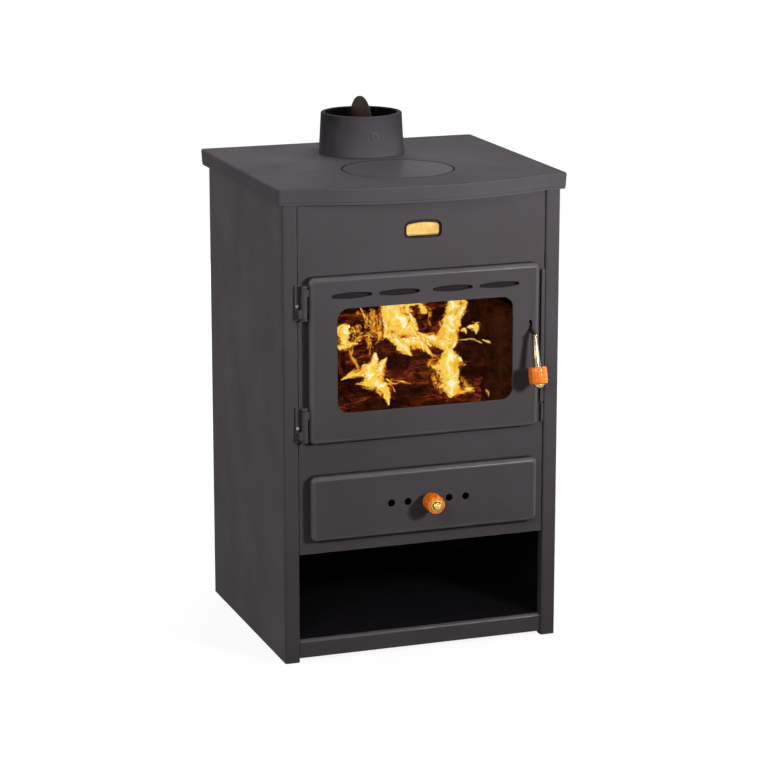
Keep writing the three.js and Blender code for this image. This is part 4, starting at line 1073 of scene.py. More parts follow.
class Workpiece:
    """A mesh in the making, in millimetres."""

    shift = 0.0
    palette: Palette

    def __init__(self, name: str) -> None:
        """Starts an empty mesh.

        Args:
            name: The finished piece's name.
        """
        self.name = name
        self.bm = bmesh.new()
        # The rim attribute: painted highlight above zero, painted shade below zero.
        self.rim = self.bm.verts.layers.float.new("rim")

    def mark(self, ring: Edges, value: float) -> None:
        """Writes on a ring's vertices the painted highlight, above zero, and the painted shade, below zero,
        that the paint gives them.
        """
        for vert in {vert for edge in ring for vert in edge.verts}:
            vert[self.rim] = value

    def loop(self, points: Iterable[Point], plane: Plane, level: float = 0.0) -> Edges:
        """Adds a closed ring of edges.

        Args:
            points: The ring's outline.
            plane: How it lies.
            level: How far along the plane's third axis.

        Returns:
            The ring's edges.
        """
        verts = [self.bm.verts.new(plane.place(u, v, level)) for u, v in points]
        return [self.bm.edges.new((v, verts[(i + 1) % len(verts)])) for i, v in enumerate(verts)]

    def fill(self, *rings: Edges) -> list[bmesh.types.BMFace]:
        """Fills a flat outline, leaving the inner rings open, and returns the faces.

        Args:
            *rings: The edges of the outline, and of each opening in it.

        Returns:
            The new faces.
        """
        edges = [edge for ring in rings for edge in ring]
        made = bmesh.ops.triangle_fill(self.bm, use_beauty=True, use_dissolve=False, edges=edges)
        return [g for g in made["geom"] if isinstance(g, bmesh.types.BMFace)]

    def pull(
        self, ring: Edges, move: Sequence[float], scale: float = 1.0, about: Sequence[float] = (0, 0, 0)
    ) -> Edges:
        """Draws a ring of edges out into a wall.

        Args:
            ring: The edges that are drawn out.
            move: How far they move.
            scale: How much the new ring grows.
            about: The point that it grows from.

        Returns:
            The new ring.
        """
        made = bmesh.ops.extrude_edge_only(self.bm, edges=ring)["geom"]
        verts = [g for g in made if isinstance(g, bmesh.types.BMVert)]
        fresh = set(verts)
        bmesh.ops.translate(self.bm, vec=move, verts=verts)
        if scale != 1.0:
            origin = Vector(about) + Vector(move)
            bmesh.ops.scale(self.bm, vec=(scale,) * 3, verts=verts, space=Matrix.Translation(-origin))
        edges = [g for g in made if isinstance(g, bmesh.types.BMEdge)]
        return [e for e in edges if e.verts[0] in fresh and e.verts[1] in fresh]

    def bridge(self, rings: Sequence[Edges]) -> None:
        """Joins each ring to the next by a band of faces."""
        for one, other in zip(rings, rings[1:], strict=False):
            bmesh.ops.bridge_loops(self.bm, edges=[*one, *other])

    def pressed_rim(
        self, outline: Callable[[float], list[Point]], plane: Plane, face: float, depth: float, radius: float
    ) -> tuple[Edges, Edges]:
        """Makes the soft rim of a pressed front: a quarter round and a straight wall behind it.

        Args:
            outline: Gives the outline at an inset.
            plane: How the front lies.
            face: The front's level.
            depth: How far the wall reaches behind the face. Below zero it reaches forward.
            radius: The rim's radius.

        Returns:
            The rings at the flat face and at the wall's end.
        """
        way = math.copysign(1.0, depth)
        rings = []
        # The rounding takes a painted highlight, and the wall behind it painted shade that is darkest at its
        # end.
        for (inset, back), tone in zip(quarter_round(radius, 7), RIM_PAINTED_LIGHT, strict=True):
            rings.append(self.loop(outline(inset), plane, face + way * back))
            self.mark(rings[-1], tone)
        rings.append(self.loop(outline(0.0), plane, face + depth))
        self.mark(rings[-1], -1.0)
        self.bridge(rings)
        return rings[0], rings[-1]

    def spin(self, profile: Sequence[Point], steps: int = 96, closed: bool = False) -> Verts:
        """Turns a profile of radius and height round the z axis.

        Args:
            profile: The profile's points.
            steps: Steps in the full turn.
            closed: Whether its last point joins its first.

        Returns:
            The new vertices.
        """
        before = set(self.bm.verts)
        verts = [self.bm.verts.new((r, 0.0, z)) for r, z in profile]
        edges = [self.bm.edges.new(pair) for pair in zip(verts, verts[1:], strict=False)]
        if closed:
            edges.append(self.bm.edges.new((verts[-1], verts[0])))
        bmesh.ops.spin(
            self.bm, geom=[*verts, *edges], cent=(0, 0, 0), axis=(0, 0, 1), dvec=(0, 0, 0), angle=math.tau,
            steps=steps, use_merge=True, use_duplicate=False,
        )
        made = [v for v in self.bm.verts if v not in before]
        bmesh.ops.remove_doubles(self.bm, verts=made, dist=0.0005)
        return [v for v in self.bm.verts if v not in before]

    def rod(
        self, start: Sequence[float], end: Sequence[float], radius: float, rounding: float = 0.4,
        steps: int = 40,
    ) -> None:
        """Adds a round bar with softened ends.

        Args:
            start: One end's middle.
            end: The other end's middle.
            radius: The bar's radius.
            rounding: How far its ends are rounded.
            steps: Sides of the bar.
        """
        half = (Vector(end) - Vector(start)).length / 2
        corner = [(radius - inset, half - back) for inset, back in quarter_round(rounding, 3)]
        profile = [(0.0, -half), *[(r, -z) for r, z in corner], *reversed(corner), (0.0, half)]
        self.move(self.spin(profile, steps), laid(start, end))

    def slab(self, low: Triple, high: Triple, rounding: float = 0.4, steps: int = 2) -> None:
        """Adds a block between two corners with softened edges.

        Args:
            low: Its lowest corner.
            high: Its highest corner.
            rounding: How far its edges are rounded.
            steps: Segments of the rounding.
        """
        verts = bmesh.ops.create_cube(self.bm, size=1.0)["verts"]
        size = Vector(high) - Vector(low)
        bmesh.ops.scale(self.bm, vec=size, verts=verts)
        bmesh.ops.translate(self.bm, vec=(Vector(low) + Vector(high)) / 2, verts=verts)
        edges = list({edge for v in verts for edge in v.link_edges})
        bmesh.ops.bevel(
            self.bm, geom=edges, offset=rounding, offset_type="OFFSET", segments=steps, profile=0.5,
            affect="EDGES", material=-1, clamp_overlap=True,
        )

    def folded(
        self, path: Sequence[Point], plane: Plane, start: float, end: float, bend: float, steps: int = 5
    ) -> None:
        """Makes a folded sheet's middle surface.

        Args:
            path: The sheet's section.
            plane: How the section lies.
            start: Where the sheet starts along the section's axis.
            end: Where it ends.
            bend: The folds' radius at the middle of the sheet.
            steps: Segments in each fold.
        """
        section = bmesh.new()
        verts = [section.verts.new((u, v, 0.0)) for u, v in path]
        for pair in zip(verts, verts[1:], strict=False):
            section.edges.new(pair)
        bmesh.ops.bevel(
            section, geom=verts[1:-1], offset=bend, offset_type="OFFSET", segments=steps, profile=0.5,
            affect="VERTICES", material=-1,
        )
        made = {v: self.bm.verts.new(plane.place(v.co.x, v.co.y, start)) for v in section.verts}
        edges = [self.bm.edges.new([made[v] for v in edge.verts]) for edge in section.edges]
        section.free()
        self.pull(edges, plane.place(0, 0, end - start))

    def move(self, verts: Iterable[bmesh.types.BMVert], matrix: Matrix) -> None:
        """Moves vertices by a matrix."""
        bmesh.ops.transform(self.bm, matrix=matrix, verts=list(verts))

    def finish(
        self,
        body: str,
        slot: str,
        looks: Sequence[Look],
        replaces: Sequence[str] = (),
        wall: float = 0.0,
        wall_offset: float = -1.0,
        outward: Sequence[float] | None = None,
        rounding: float = 0.0,
        rounding_steps: int = 2,
        smooth: float = 32.0,
    ) -> bpy.types.Object:
        """Turns the mesh into a finished piece that rides on a body.

        Args:
            body: The body it rides on.
            slot: The record's material slot. Not used.
            looks: Its finishes. A second one goes on the inner side of a wall.
            replaces: The frame nodes it stands for.
            wall: The thickness given to an open shell, or zero for a solid.
            wall_offset: Where the wall lies: -1 behind the surface, 0 centred on it.
            outward: The way an open shell's largest face looks.
            rounding: Radius put on every sharp edge.
            rounding_steps: Segments of that radius.
            smooth: Angle in degrees above which an edge shades sharp.

        Returns:
            The finished object.
        """
        bmesh.ops.remove_doubles(self.bm, verts=self.bm.verts, dist=0.002)
        bmesh.ops.recalc_face_normals(self.bm, faces=self.bm.faces)
        if outward is not None:
            way = Vector(outward)
            largest = max(self.bm.faces, key=lambda face: face.calc_area() * abs(face.normal.dot(way)))
            if largest.normal.dot(way) < 0:
                bmesh.ops.reverse_faces(self.bm, faces=self.bm.faces)
        elif self.bm.calc_volume(signed=True) < 0:
            bmesh.ops.reverse_faces(self.bm, faces=self.bm.faces)
        place = Matrix.Scale(MM, 4) @ Matrix.Translation((0.0, self.shift, 0.0))
        bmesh.ops.transform(self.bm, matrix=place, verts=self.bm.verts)
        mesh = bpy.data.meshes.new(self.name)
        self.bm.to_mesh(mesh)
        self.bm.free()
        for look in looks:
            mesh.materials.append(self.palette[look])
        piece = add_object(self.name, mesh)
        if wall:
            self.thicken(piece, wall, wall_offset, len(looks) - 1)
        piece.data.shade_smooth()
        piece.data.set_sharp_from_angle(angle=math.radians(smooth))
        if rounding:
            bevel = piece.modifiers.new("soft_edges", "BEVEL")
            bevel.width = rounding * MM
            bevel.segments = rounding_steps
            bevel.limit_method = "ANGLE"
            bevel.angle_limit = math.radians(smooth)
            bevel.miter_outer = "MITER_ARC"
        normals = piece.modifiers.new("flat_faces_stay_flat", "WEIGHTED_NORMAL")
        normals.keep_sharp = True
        if replaces:
            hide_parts(*replaces)
        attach(piece, body)
        log.info("built %s on %s", self.name, body)
        return piece

    @staticmethod
    def thicken(piece: bpy.types.Object, wall: float, offset: float, inner: int) -> None:
        """Gives an open shell its wall and keeps the result as the piece's mesh.

        Args:
            piece: The shell's object.
            wall: The wall's thickness.
            offset: Where the wall lies.
            inner: Added to the material number on the inner side.
        """
        solid = piece.modifiers.new("wall", "SOLIDIFY")
        solid.thickness = wall * MM
        solid.offset = offset
        solid.use_even_offset = True
        solid.material_offset = inner
        shell = piece.data
        shown = piece.evaluated_get(bpy.context.evaluated_depsgraph_get())
        piece.data = bpy.data.meshes.new_from_object(shown)
        piece.data.name = piece.name
        piece.modifiers.clear()
        bpy.data.meshes.remove(shell)


# The stove's sub-assemblies


@dataclass
class Casing:
    """The folded side panels, the back and the wood store's floor."""

    width: float = 412.0
    depth: float = 360.0
    height: float = 675.7
    skin: float = 1.5
    post: float = 22.0
    post_return: float = 14.0
    rear_flange: float = 18.0
    bend: float = 2.75
    back_plane: float = 176.7
    screw_heights: tuple[float, ...] = (60.0, 338.0, 616.0)
    screw_radius: float = 4.0
    screw_rise: float = 2.2
    screw_foot: float = -0.2
    screw_recess: tuple[Point, ...] = ((1.6, 2.1), (1.4, 0.9), (0.0, 0.7))
    back_inset: float = 2.3
    floor_top: float = 32.0
    floor_sheet: float = 2.0
    lip_front: float = -176.0
    lip_bottom: float = 5.0
    lip_width: float = 367.2
    lip_bend: float = 5.0
    wing_flange: float = 14.0
    lip_margin: float = 0.4
    # How strong the painted highlight along the lip's upper bend is.
    lip_highlight: float = 0.9

    def side(self, name: str, way: int) -> None:
        """Builds one side panel with its post and rear flange.

        Args:
            name: The frame node it stands for.
            way: -1 for the left, 1 for the right.
        """
        half = self.width / 2
        wall = way * (half - self.skin / 2)
        post = way * (half - self.post + self.skin / 2)
        near = -self.depth / 2 + self.skin / 2
        far = self.depth / 2 - self.skin / 2
        front = [(post, near - self.skin / 2 + self.post_return), (post, near)]
        path = [*front, (wall, near), (wall, far), (way * (half - self.rear_flange), far)]
        work = Workpiece(name + "_sheet")
        work.folded(path, Plane.PLAN, 0.0, self.height, self.bend)
        work.finish(
            "stove", "paint", SHEET, [name], wall=self.skin, wall_offset=0.0,
            outward=(way, 0, 0), rounding=0.35,
        )

    def back(self) -> None:
        """Builds the back panel and the heads of its screws."""
        width = 2 * (self.width / 2 - self.skin - self.back_inset)
        middle = (self.height + self.lip_bottom) / 2
        outline = rounded_outline(width, self.height - self.lip_bottom, 1.0, (0, middle))
        work = Workpiece("back_panel_sheet")
        work.fill(work.loop(outline, Plane.FRONT, self.back_plane + self.skin))
        work.finish("stove", "paint", SHEET, ["back_panel"], wall=self.skin, outward=(0, 1, 0), rounding=0.25)
        screws = Workpiece("back_panel_screws")
        radius, rise = self.screw_radius, self.screw_rise
        dome = [(radius * math.cos(a), rise * math.sin(a)) for a in (0.0, 0.5, 0.9, 1.25)]
        foot = [(0.0, self.screw_foot), (radius, self.screw_foot)]
        across = self.width / 2 - self.rear_flange / 2 - self.skin
        for x in (-across, across):
            for height in self.screw_heights:
                verts = screws.spin([*foot, *dome, *self.screw_recess], 24)
                screws.move(verts, Matrix.Translation((x, self.depth / 2 + GAP, height)) @ TO_BACK)
        screws.finish("stove", "steel", (Look.ZINC,))

    def floor(self) -> None:
        """Builds the wood store's floor with its folded lip."""
        middle = self.floor_sheet / 2
        near = self.lip_front + middle
        far = self.back_plane - GAP - middle
        level = self.floor_top - middle
        path = [(near, self.lip_bottom), (near, level), (far, level), (far, self.lip_bottom)]
        work = Workpiece("base_pan_sheet")
        work.folded(path, Plane.SIDE, -self.lip_width / 2, self.lip_width / 2, self.lip_bend, 7)
        # A painted highlight along the bend at the top of the lip.
        for vert in work.bm.verts:
            if near + self.lip_margin < vert.co.y < near + self.lip_bend - self.lip_margin:
                vert[work.rim] = self.lip_highlight
        reach = self.width / 2 - self.skin - GAP - middle
        start = -self.depth / 2 + self.post_return + GAP
        for way in (-1, 1):
            edge = way * reach
            wing = [(way * self.lip_width / 2, level), (edge, level), (edge, level - self.wing_flange)]
            work.folded(wing, Plane.FRONT, start, far - self.lip_bend, self.bend)
        work.bm.normal_update()
        # Flat faces, the store's floor and the wings' tops, take the near-black inner finish: painted shade
        # inside the store.
        for face in work.bm.faces:
            face.material_index = 1 if abs(face.normal.z) > 0.95 else 0
        work.finish(
            "stove", "paint", SHEET, ["base_pan"], wall=self.floor_sheet,
            wall_offset=0.0, outward=(0, 0, 1), rounding=0.5,
        )

    def build(self) -> None:
        """Builds the casing's pieces."""
        for name, way in (("side_panel_left", -1), ("side_panel_right", 1)):
            self.side(name, way)
        self.back()
        self.floor()


@dataclass
class FrontPanel:
    """The recessed front with its nameplate pocket, bare brass plate and the two bars beside the door."""

    face: float = -177.5
    width: float = 366.4
    bottom: float = 158.5
    top: float = 675.7
    flange: float = 14.0
    sheet: float = 2.0
    openings: tuple[Triple, Triple] = ((320.2, 215.2, 438.5), (312.0, 65.0, 219.5))
    plate_middle: float = 612.5
    plate: Point = (48.0, 15.5)
    plate_arch: float = 3.0
    plate_corner: float = 4.0
    plate_thickness: float = 1.7
    plate_border: tuple[Point, ...] = ((0.35, 0.3), (0.8, 0.0), (0.45, -0.35))
    pocket_margin: float = 4.0
    pocket_depth: float = 3.0
    rail_x: float = 180.5
    rail_half: float = 2.8
    rail_proud: float = 4.0
    rail_narrowing: float = 0.8
    rail_corner: float = 2.0
    rail_round: float = 1.7
    rail_spans: tuple[Point, Point] = ((351.3, 544.7), (322.3, 349.5))

    def arched(self, margin: float) -> list[Point]:
        """Returns the nameplate's outline with its arched upper side, grown by a margin.

        Args:
            margin: How far the outline is grown.

        Returns:
            The outline's points in order.
        """
        width = self.plate[0] + 2 * margin
        height = self.plate[1] + 2 * margin
        flat = rounded_outline(width, height, self.plate_corner + margin, steps=8)
        dense = refined(flat, max(v for _, v in flat), 12)
        lift = [(u, v + (self.plate_arch * (1 - (2 * u / width) ** 2) if v > 0 else 0.0)) for u, v in dense]
        return [(u, v + self.plate_middle) for u, v in lift]

    def panel(self) -> None:
        """Builds the panel: openings, pocket and folded rim."""
        work = Workpiece("front_panel_sheet")
        middle = (self.top + self.bottom) / 2
        rim = rounded_outline(self.width, self.top - self.bottom, 1.2, (0, middle), 3)
        outer = work.loop(rim, Plane.FRONT, self.face)
        outlines = [rounded_outline(width, height, 4.0, (0, at)) for width, height, at in self.openings]
        holes = [work.loop(outline, Plane.FRONT, self.face) for outline in outlines]
        pocket = work.loop(self.arched(self.pocket_margin), Plane.FRONT, self.face)
        work.fill(outer, *holes, pocket)
        work.pull(outer, (0, self.flange, 0))
        floor = work.pull(pocket, (0, self.pocket_depth, 0))
        # The pocket's floor is painted dark: painted shade in the recess round the nameplate.
        work.mark(floor, -1.0)
        work.fill(floor)
        work.finish(
            "stove", "paint", SHEET, ["front_panel"], wall=self.sheet, outward=FORWARDS, rounding=0.6,
            rounding_steps=3,
        )

    def name_plate(self) -> None:
        """Builds the bare brass plate with a fine raised border."""
        work = Workpiece("name_plate_brass")
        ring = work.loop(self.arched(0.0), Plane.FRONT, self.face + self.pocket_depth - GAP)
        work.fill(ring)
        front = work.pull(ring, (0, -self.plate_thickness, 0))
        face = bmesh.ops.contextual_create(work.bm, geom=front)["faces"]
        for thickness, depth in self.plate_border:
            bmesh.ops.recalc_face_normals(work.bm, faces=work.bm.faces)
            bmesh.ops.inset_region(
                work.bm, faces=face, thickness=thickness, depth=depth, use_even_offset=True,
                use_boundary=True,
            )
        work.finish("stove", "brass", (Look.BRASS,), ["name_plate"], smooth=25)

    def rails(self) -> None:
        """Builds the two half-round bars on the right of the door."""
        for name, (low, high) in zip(("rail_upper", "rail_lower"), self.rail_spans, strict=True):
            narrow = self.rail_narrowing if name == "rail_lower" else 0.0
            width = 2 * (self.rail_half - narrow)
            work = Workpiece(name + "_bar")
            middle = (self.rail_x + narrow, (low + high) / 2)

            def outline(inset: float, size: Point = (width, high - low), at: Point = middle) -> list[Point]:
                """Returns the bar's outline at an inset."""
                wide, high = size[0] - 2 * inset, size[1] - 2 * inset
                return rounded_outline(wide, high, self.rail_corner - inset, at, 6)

            level = self.face - GAP - self.rail_proud
            face, foot = work.pressed_rim(outline, Plane.FRONT, level, self.rail_proud, self.rail_round)
            work.fill(face)
            work.fill(foot)
            work.finish("stove", "paint", (Look.PAINT,), [name])

    def build(self) -> None:
        """Builds the front's pieces."""
        self.panel()
        self.name_plate()
        self.rails()


@dataclass
class CookingTop:
    """The cast cooking top with its bowed front edge, and the round lid in it."""

    half_width: float = 214.2
    near: float = -185.5
    far: float = 194.9
    surface: float = 682.0
    drop: float = 23.0
    flare: float = 1.5
    corner: float = 6.0
    edge_round: float = 2.2
    foot_steps: tuple[Point, ...] = ((0.0, 0.0), (0.0, 2.6), (0.55, 3.4), (0.5, 4.4))
    # Painted highlight, above zero, and painted shade, below zero, on each ring of the skirt: a light bead
    # low down, a dark line above it, and a dark line at the top edge.
    edge_painted_light: tuple[float, ...] = (0.0, 0.12, -0.4, 0.0, 0.0, 0.08, 0.18, -0.1, -0.3)
    bow_depth: float = 37.0
    bow_chord: float = 366.0
    bow_softness: float = 6.0
    samples: int = 110
    lid_at: Point = (0.0, -74.0)
    lid_radius: float = 78.9
    lid_thickness: float = 5.5
    lid_round: float = 0.6
    lid_bevel: float = 0.5
    rebate_radius: float = 80.9
    rebate_depth: float = 5.8
    ledge_radius: float = 74.0
    ledge_drop: float = 6.0
    flue_at: Point = (0.0, 85.0)
    flue_radius: float = 57.3
    wall: float = 4.5

    def bow(self, x: float) -> float:
        """Returns how far the front edge swells forwards at a distance from the middle.

        Args:
            x: The distance from the middle.

        Returns:
            The swell.
        """
        radius = (self.bow_chord**2 / 4 + self.bow_depth**2) / (2 * self.bow_depth)
        rise = math.sqrt(radius**2 - x**2) - radius + self.bow_depth
        return (rise + math.sqrt(rise**2 + self.bow_softness**2)) / 2

    def outline(self, inset: float) -> list[Point]:
        """Returns the top's outline, drawn in by an inset.

        Args:
            inset: How far the outline is drawn in.

        Returns:
            The outline's points in order.
        """
        ends = self.half_width - self.corner
        depth = self.far - self.near
        middle = (self.far + self.near) / 2
        body = rounded_outline(2 * self.half_width, depth, self.corner, (0, middle), 8)
        low = min(v for _, v in body)
        dense = refined(body, low, self.samples)
        bowed = [(u, v - (self.bow(u) - self.bow(ends) if v < low + SAME else 0.0)) for u, v in dense]
        return shrink(bowed, inset)

    def plate(self) -> None:
        """Builds the plate, its skirt, the lid's rebate and the flue's hole."""
        work = Workpiece("cooking_top")
        foot = [(inset - self.flare, self.drop - rise) for inset, rise in self.foot_steps]
        section = [*foot, *reversed(quarter_round(self.edge_round, 5))]
        rings = [work.loop(self.outline(inset), Plane.PLAN, self.surface - back) for inset, back in section]
        # Each ring of the skirt takes its share of painted highlight and shade.
        for ring, tone in zip(rings, self.edge_painted_light, strict=False):
            work.mark(ring, tone)
        work.bridge(rings)
        lid = work.loop(round_outline(self.rebate_radius, self.lid_at), Plane.PLAN, self.surface)
        flue = work.loop(round_outline(self.flue_radius, self.flue_at), Plane.PLAN, self.surface)
        work.fill(rings[-1], lid, flue)
        wall = work.pull(lid, (0, 0, -self.rebate_depth))
        about = (*self.lid_at, self.surface - self.rebate_depth)
        ledge = work.pull(wall, (0, 0, 0), self.ledge_radius / self.rebate_radius, about)
        work.pull(ledge, (0, 0, -self.ledge_drop))
        # The rebate's wall and ledge take the near-black inner finish: painted shade in the groove round the
        # lid.
        for face in work.bm.faces:
            reach = max((vert.co.xy - Vector(self.lid_at)).length for vert in face.verts)
            face.material_index = 1 if reach < self.rebate_radius + 0.1 else 0
        work.pull(flue, (0, 0, -self.wall))
        work.finish(
            "stove", "cast_top", CASTING, ["top_plate"], wall=self.wall, outward=(0, 0, 1), rounding=0.5,
        )

    def lid(self) -> None:
        """Builds the lid, soft at its upper rim and bevelled below."""
        work = Workpiece("cooking_lid_disc")
        radius, bevel, under = self.lid_radius, self.lid_bevel, -self.lid_thickness
        rim = [(radius - inset, -back) for inset, back in quarter_round(self.lid_round, 4)]
        flat = [(0.0, 0.0), (radius * 0.4, 0.0), (radius - 1.7, 0.0)]
        profile = [*flat, *rim, (radius, under + bevel), (radius - bevel, under), (0.0, under)]
        verts = work.spin(profile, 128)
        # Painted shade on the lid's edge and underside, lighter on its upper rounding, and a faint painted
        # highlight on its top.
        for vert in verts:
            vert[work.rim] = -1.0 if vert.co.z < -0.5 else -0.6 if vert.co.xy.length > radius - 0.7 else 0.05
        work.move(verts, Matrix.Translation((*self.lid_at, self.surface)))
        work.finish("lid", "cast_top", (Look.CAST,), ["cooking_lid"])

    def build(self) -> None:
        """Builds the top's pieces."""
        self.plate()
        self.lid()


@dataclass
class Flue:
    """The flue collar, the damper's disc and its axle."""

    at: Point = (0.0, 85.0)
    surface: float = 682.0
    base_radius: float = 62.5
    top_radius: float = 59.4
    height: float = 60.0
    bore: float = 53.0
    spigot: float = 57.0
    spigot_drop: float = 10.0
    axle_height: float = 31.0
    axle_radius: float = 4.0
    axle_half: float = 61.9
    axle_lever: float = 15.0
    rim_round: float = 1.6
    foot_steps: tuple[Point, ...] = ((-1.0, 0.3), (-1.0, 1.1), (0.0, 1.5), (-0.1, 3.0))
    boss_radius: float = 6.5
    disc_radius: float = 51.5
    disc_half: float = 1.5
    tube_radius: float = 7.0

    def collar(self) -> None:
        """Builds the tapered collar with its rolled rim and the axle's bosses."""
        work = Workpiece("flue_collar_casting")
        corner = quarter_round(self.rim_round, 5)
        rim = [(self.top_radius - inset, self.height - back) for inset, back in reversed(corner)]
        inner = [(self.bore + inset, self.height - back) for inset, back in corner]
        foot = [(self.base_radius + out, rise) for out, rise in self.foot_steps]
        spigot = [(self.bore, -self.spigot_drop), (self.spigot, -self.spigot_drop), (self.spigot, GAP)]
        profile = [*spigot, *foot, *rim, *inner]
        verts = work.spin(profile, 128, closed=True)
        # The bore takes the near-black inner finish: painted shade inside the collar.
        for face in {face for vert in verts for face in vert.link_faces}:
            face.material_index = 1 if face.calc_center_median().xy.length < self.bore + GAP else 0
        # Painted shade: darker towards the collar's left and, more, its right side, with a dark line along
        # the mouth's rim.
        for vert in verts:
            share = vert.co.x / self.base_radius
            side = -0.68 if share < 0 else -1.0
            vert[work.rim] = side * share**2 - (0.5 if vert.co.z > self.height - 1.7 else 0.0)
        work.move(verts, Matrix.Translation((*self.at, self.surface)))
        reach = self.base_radius - (self.base_radius - self.top_radius) * self.axle_height / self.height + 1.0
        for way in (-1, 1):
            y = self.at[1]
            z = self.surface + self.axle_height
            work.rod((0, y + way * (self.bore + 0.5), z), (0, y + way * reach, z), self.boss_radius, 0.5)
        work.finish("stove", "cast_top", CASTING, ["flue_collar"])

    def damper(self) -> None:
        """Builds the damper's disc with the tube that holds it to the axle."""
        work = Workpiece("damper_plate")
        rim = [(self.disc_radius - inset, self.disc_half - back) for inset, back in quarter_round(0.5, 3)]
        profile = [(0.0, self.disc_half), *rim, *[(r, -z) for r, z in reversed(rim)], (0.0, -self.disc_half)]
        z = self.surface + self.axle_height
        verts = work.spin(profile, 96)
        work.move(verts, Matrix.Translation((*self.at, z)) @ Matrix.Rotation(math.pi / 2, 4, "Y"))
        half = self.disc_radius - self.tube_radius
        work.rod((0, self.at[1] - half, z), (0, self.at[1] + half, z), self.tube_radius, 0.8)
        work.finish("damper", "cast_iron", (Look.SMOKED,), ["damper_disc"])

    def axle(self) -> None:
        """Builds the axle and the short lever that it turns up into behind the collar."""
        work = Workpiece("damper_axle_rod")
        z = self.surface + self.axle_height
        start = self.at[1] - self.axle_half
        end = self.at[1] + self.axle_half + self.axle_lever
        bend = ((-8, 0), (-3.5, 1.2), (-0.8, 3.8), (0, 8), (0, 24))
        points = [(start, z), *[(end + back, z + rise) for back, rise in bend]]
        radius = self.axle_radius - 0.05
        rings = []
        for i, (y, height) in enumerate(points):
            before = Vector(points[max(i - 1, 0)])
            after = Vector(points[min(i + 1, len(points) - 1)])
            tangent = (after - before).normalized()
            slope = math.atan2(tangent.y, tangent.x)
            ring = work.loop(round_outline(radius, steps=24), Plane.PLAN)
            verts = {v for edge in ring for v in edge.verts}
            turn = Matrix.Rotation(-math.pi / 2 + slope, 4, "X")
            work.move(verts, Matrix.Translation((0, y, height)) @ turn)
            rings.append(ring)
        work.bridge(rings)
        work.fill(rings[0])
        work.fill(rings[-1])
        # The whole axle is drawn a little darker through the paint's shade mark.
        for vert in work.bm.verts:
            vert[work.rim] = -0.3
        work.finish("damper", "steel", (Look.CAST,), ["damper_rod"], rounding=0.4)

    def build(self) -> None:
        """Builds the flue's pieces."""
        self.collar()
        self.damper()
        self.axle()


@dataclass
class PressedFront:
    """A front pressed from one sheet, with round corners and a soft rim."""

    face: float
    width: float
    height: float
    middle: float
    depth: float
    skin: float
    corner: float = 8.0
    round: float = 7.0

    def outline(self, inset: float) -> list[Point]:
        """Returns the front's outline at an inset."""
        width, height = self.width - 2 * inset, self.height - 2 * inset
        return rounded_outline(width, height, self.corner - inset, (0, self.middle), 10)

    def pressed(self, work: Workpiece, holes: Iterable[Sequence[Point]]) -> None:
        """Makes the front's surface.

        Args:
            work: The workpiece that it goes in.
            holes: The outlines of its holes.
        """
        flat, _ = work.pressed_rim(self.outline, Plane.FRONT, self.face, self.depth, self.round)
        work.fill(flat, *[work.loop(hole, Plane.FRONT, self.face) for hole in holes])


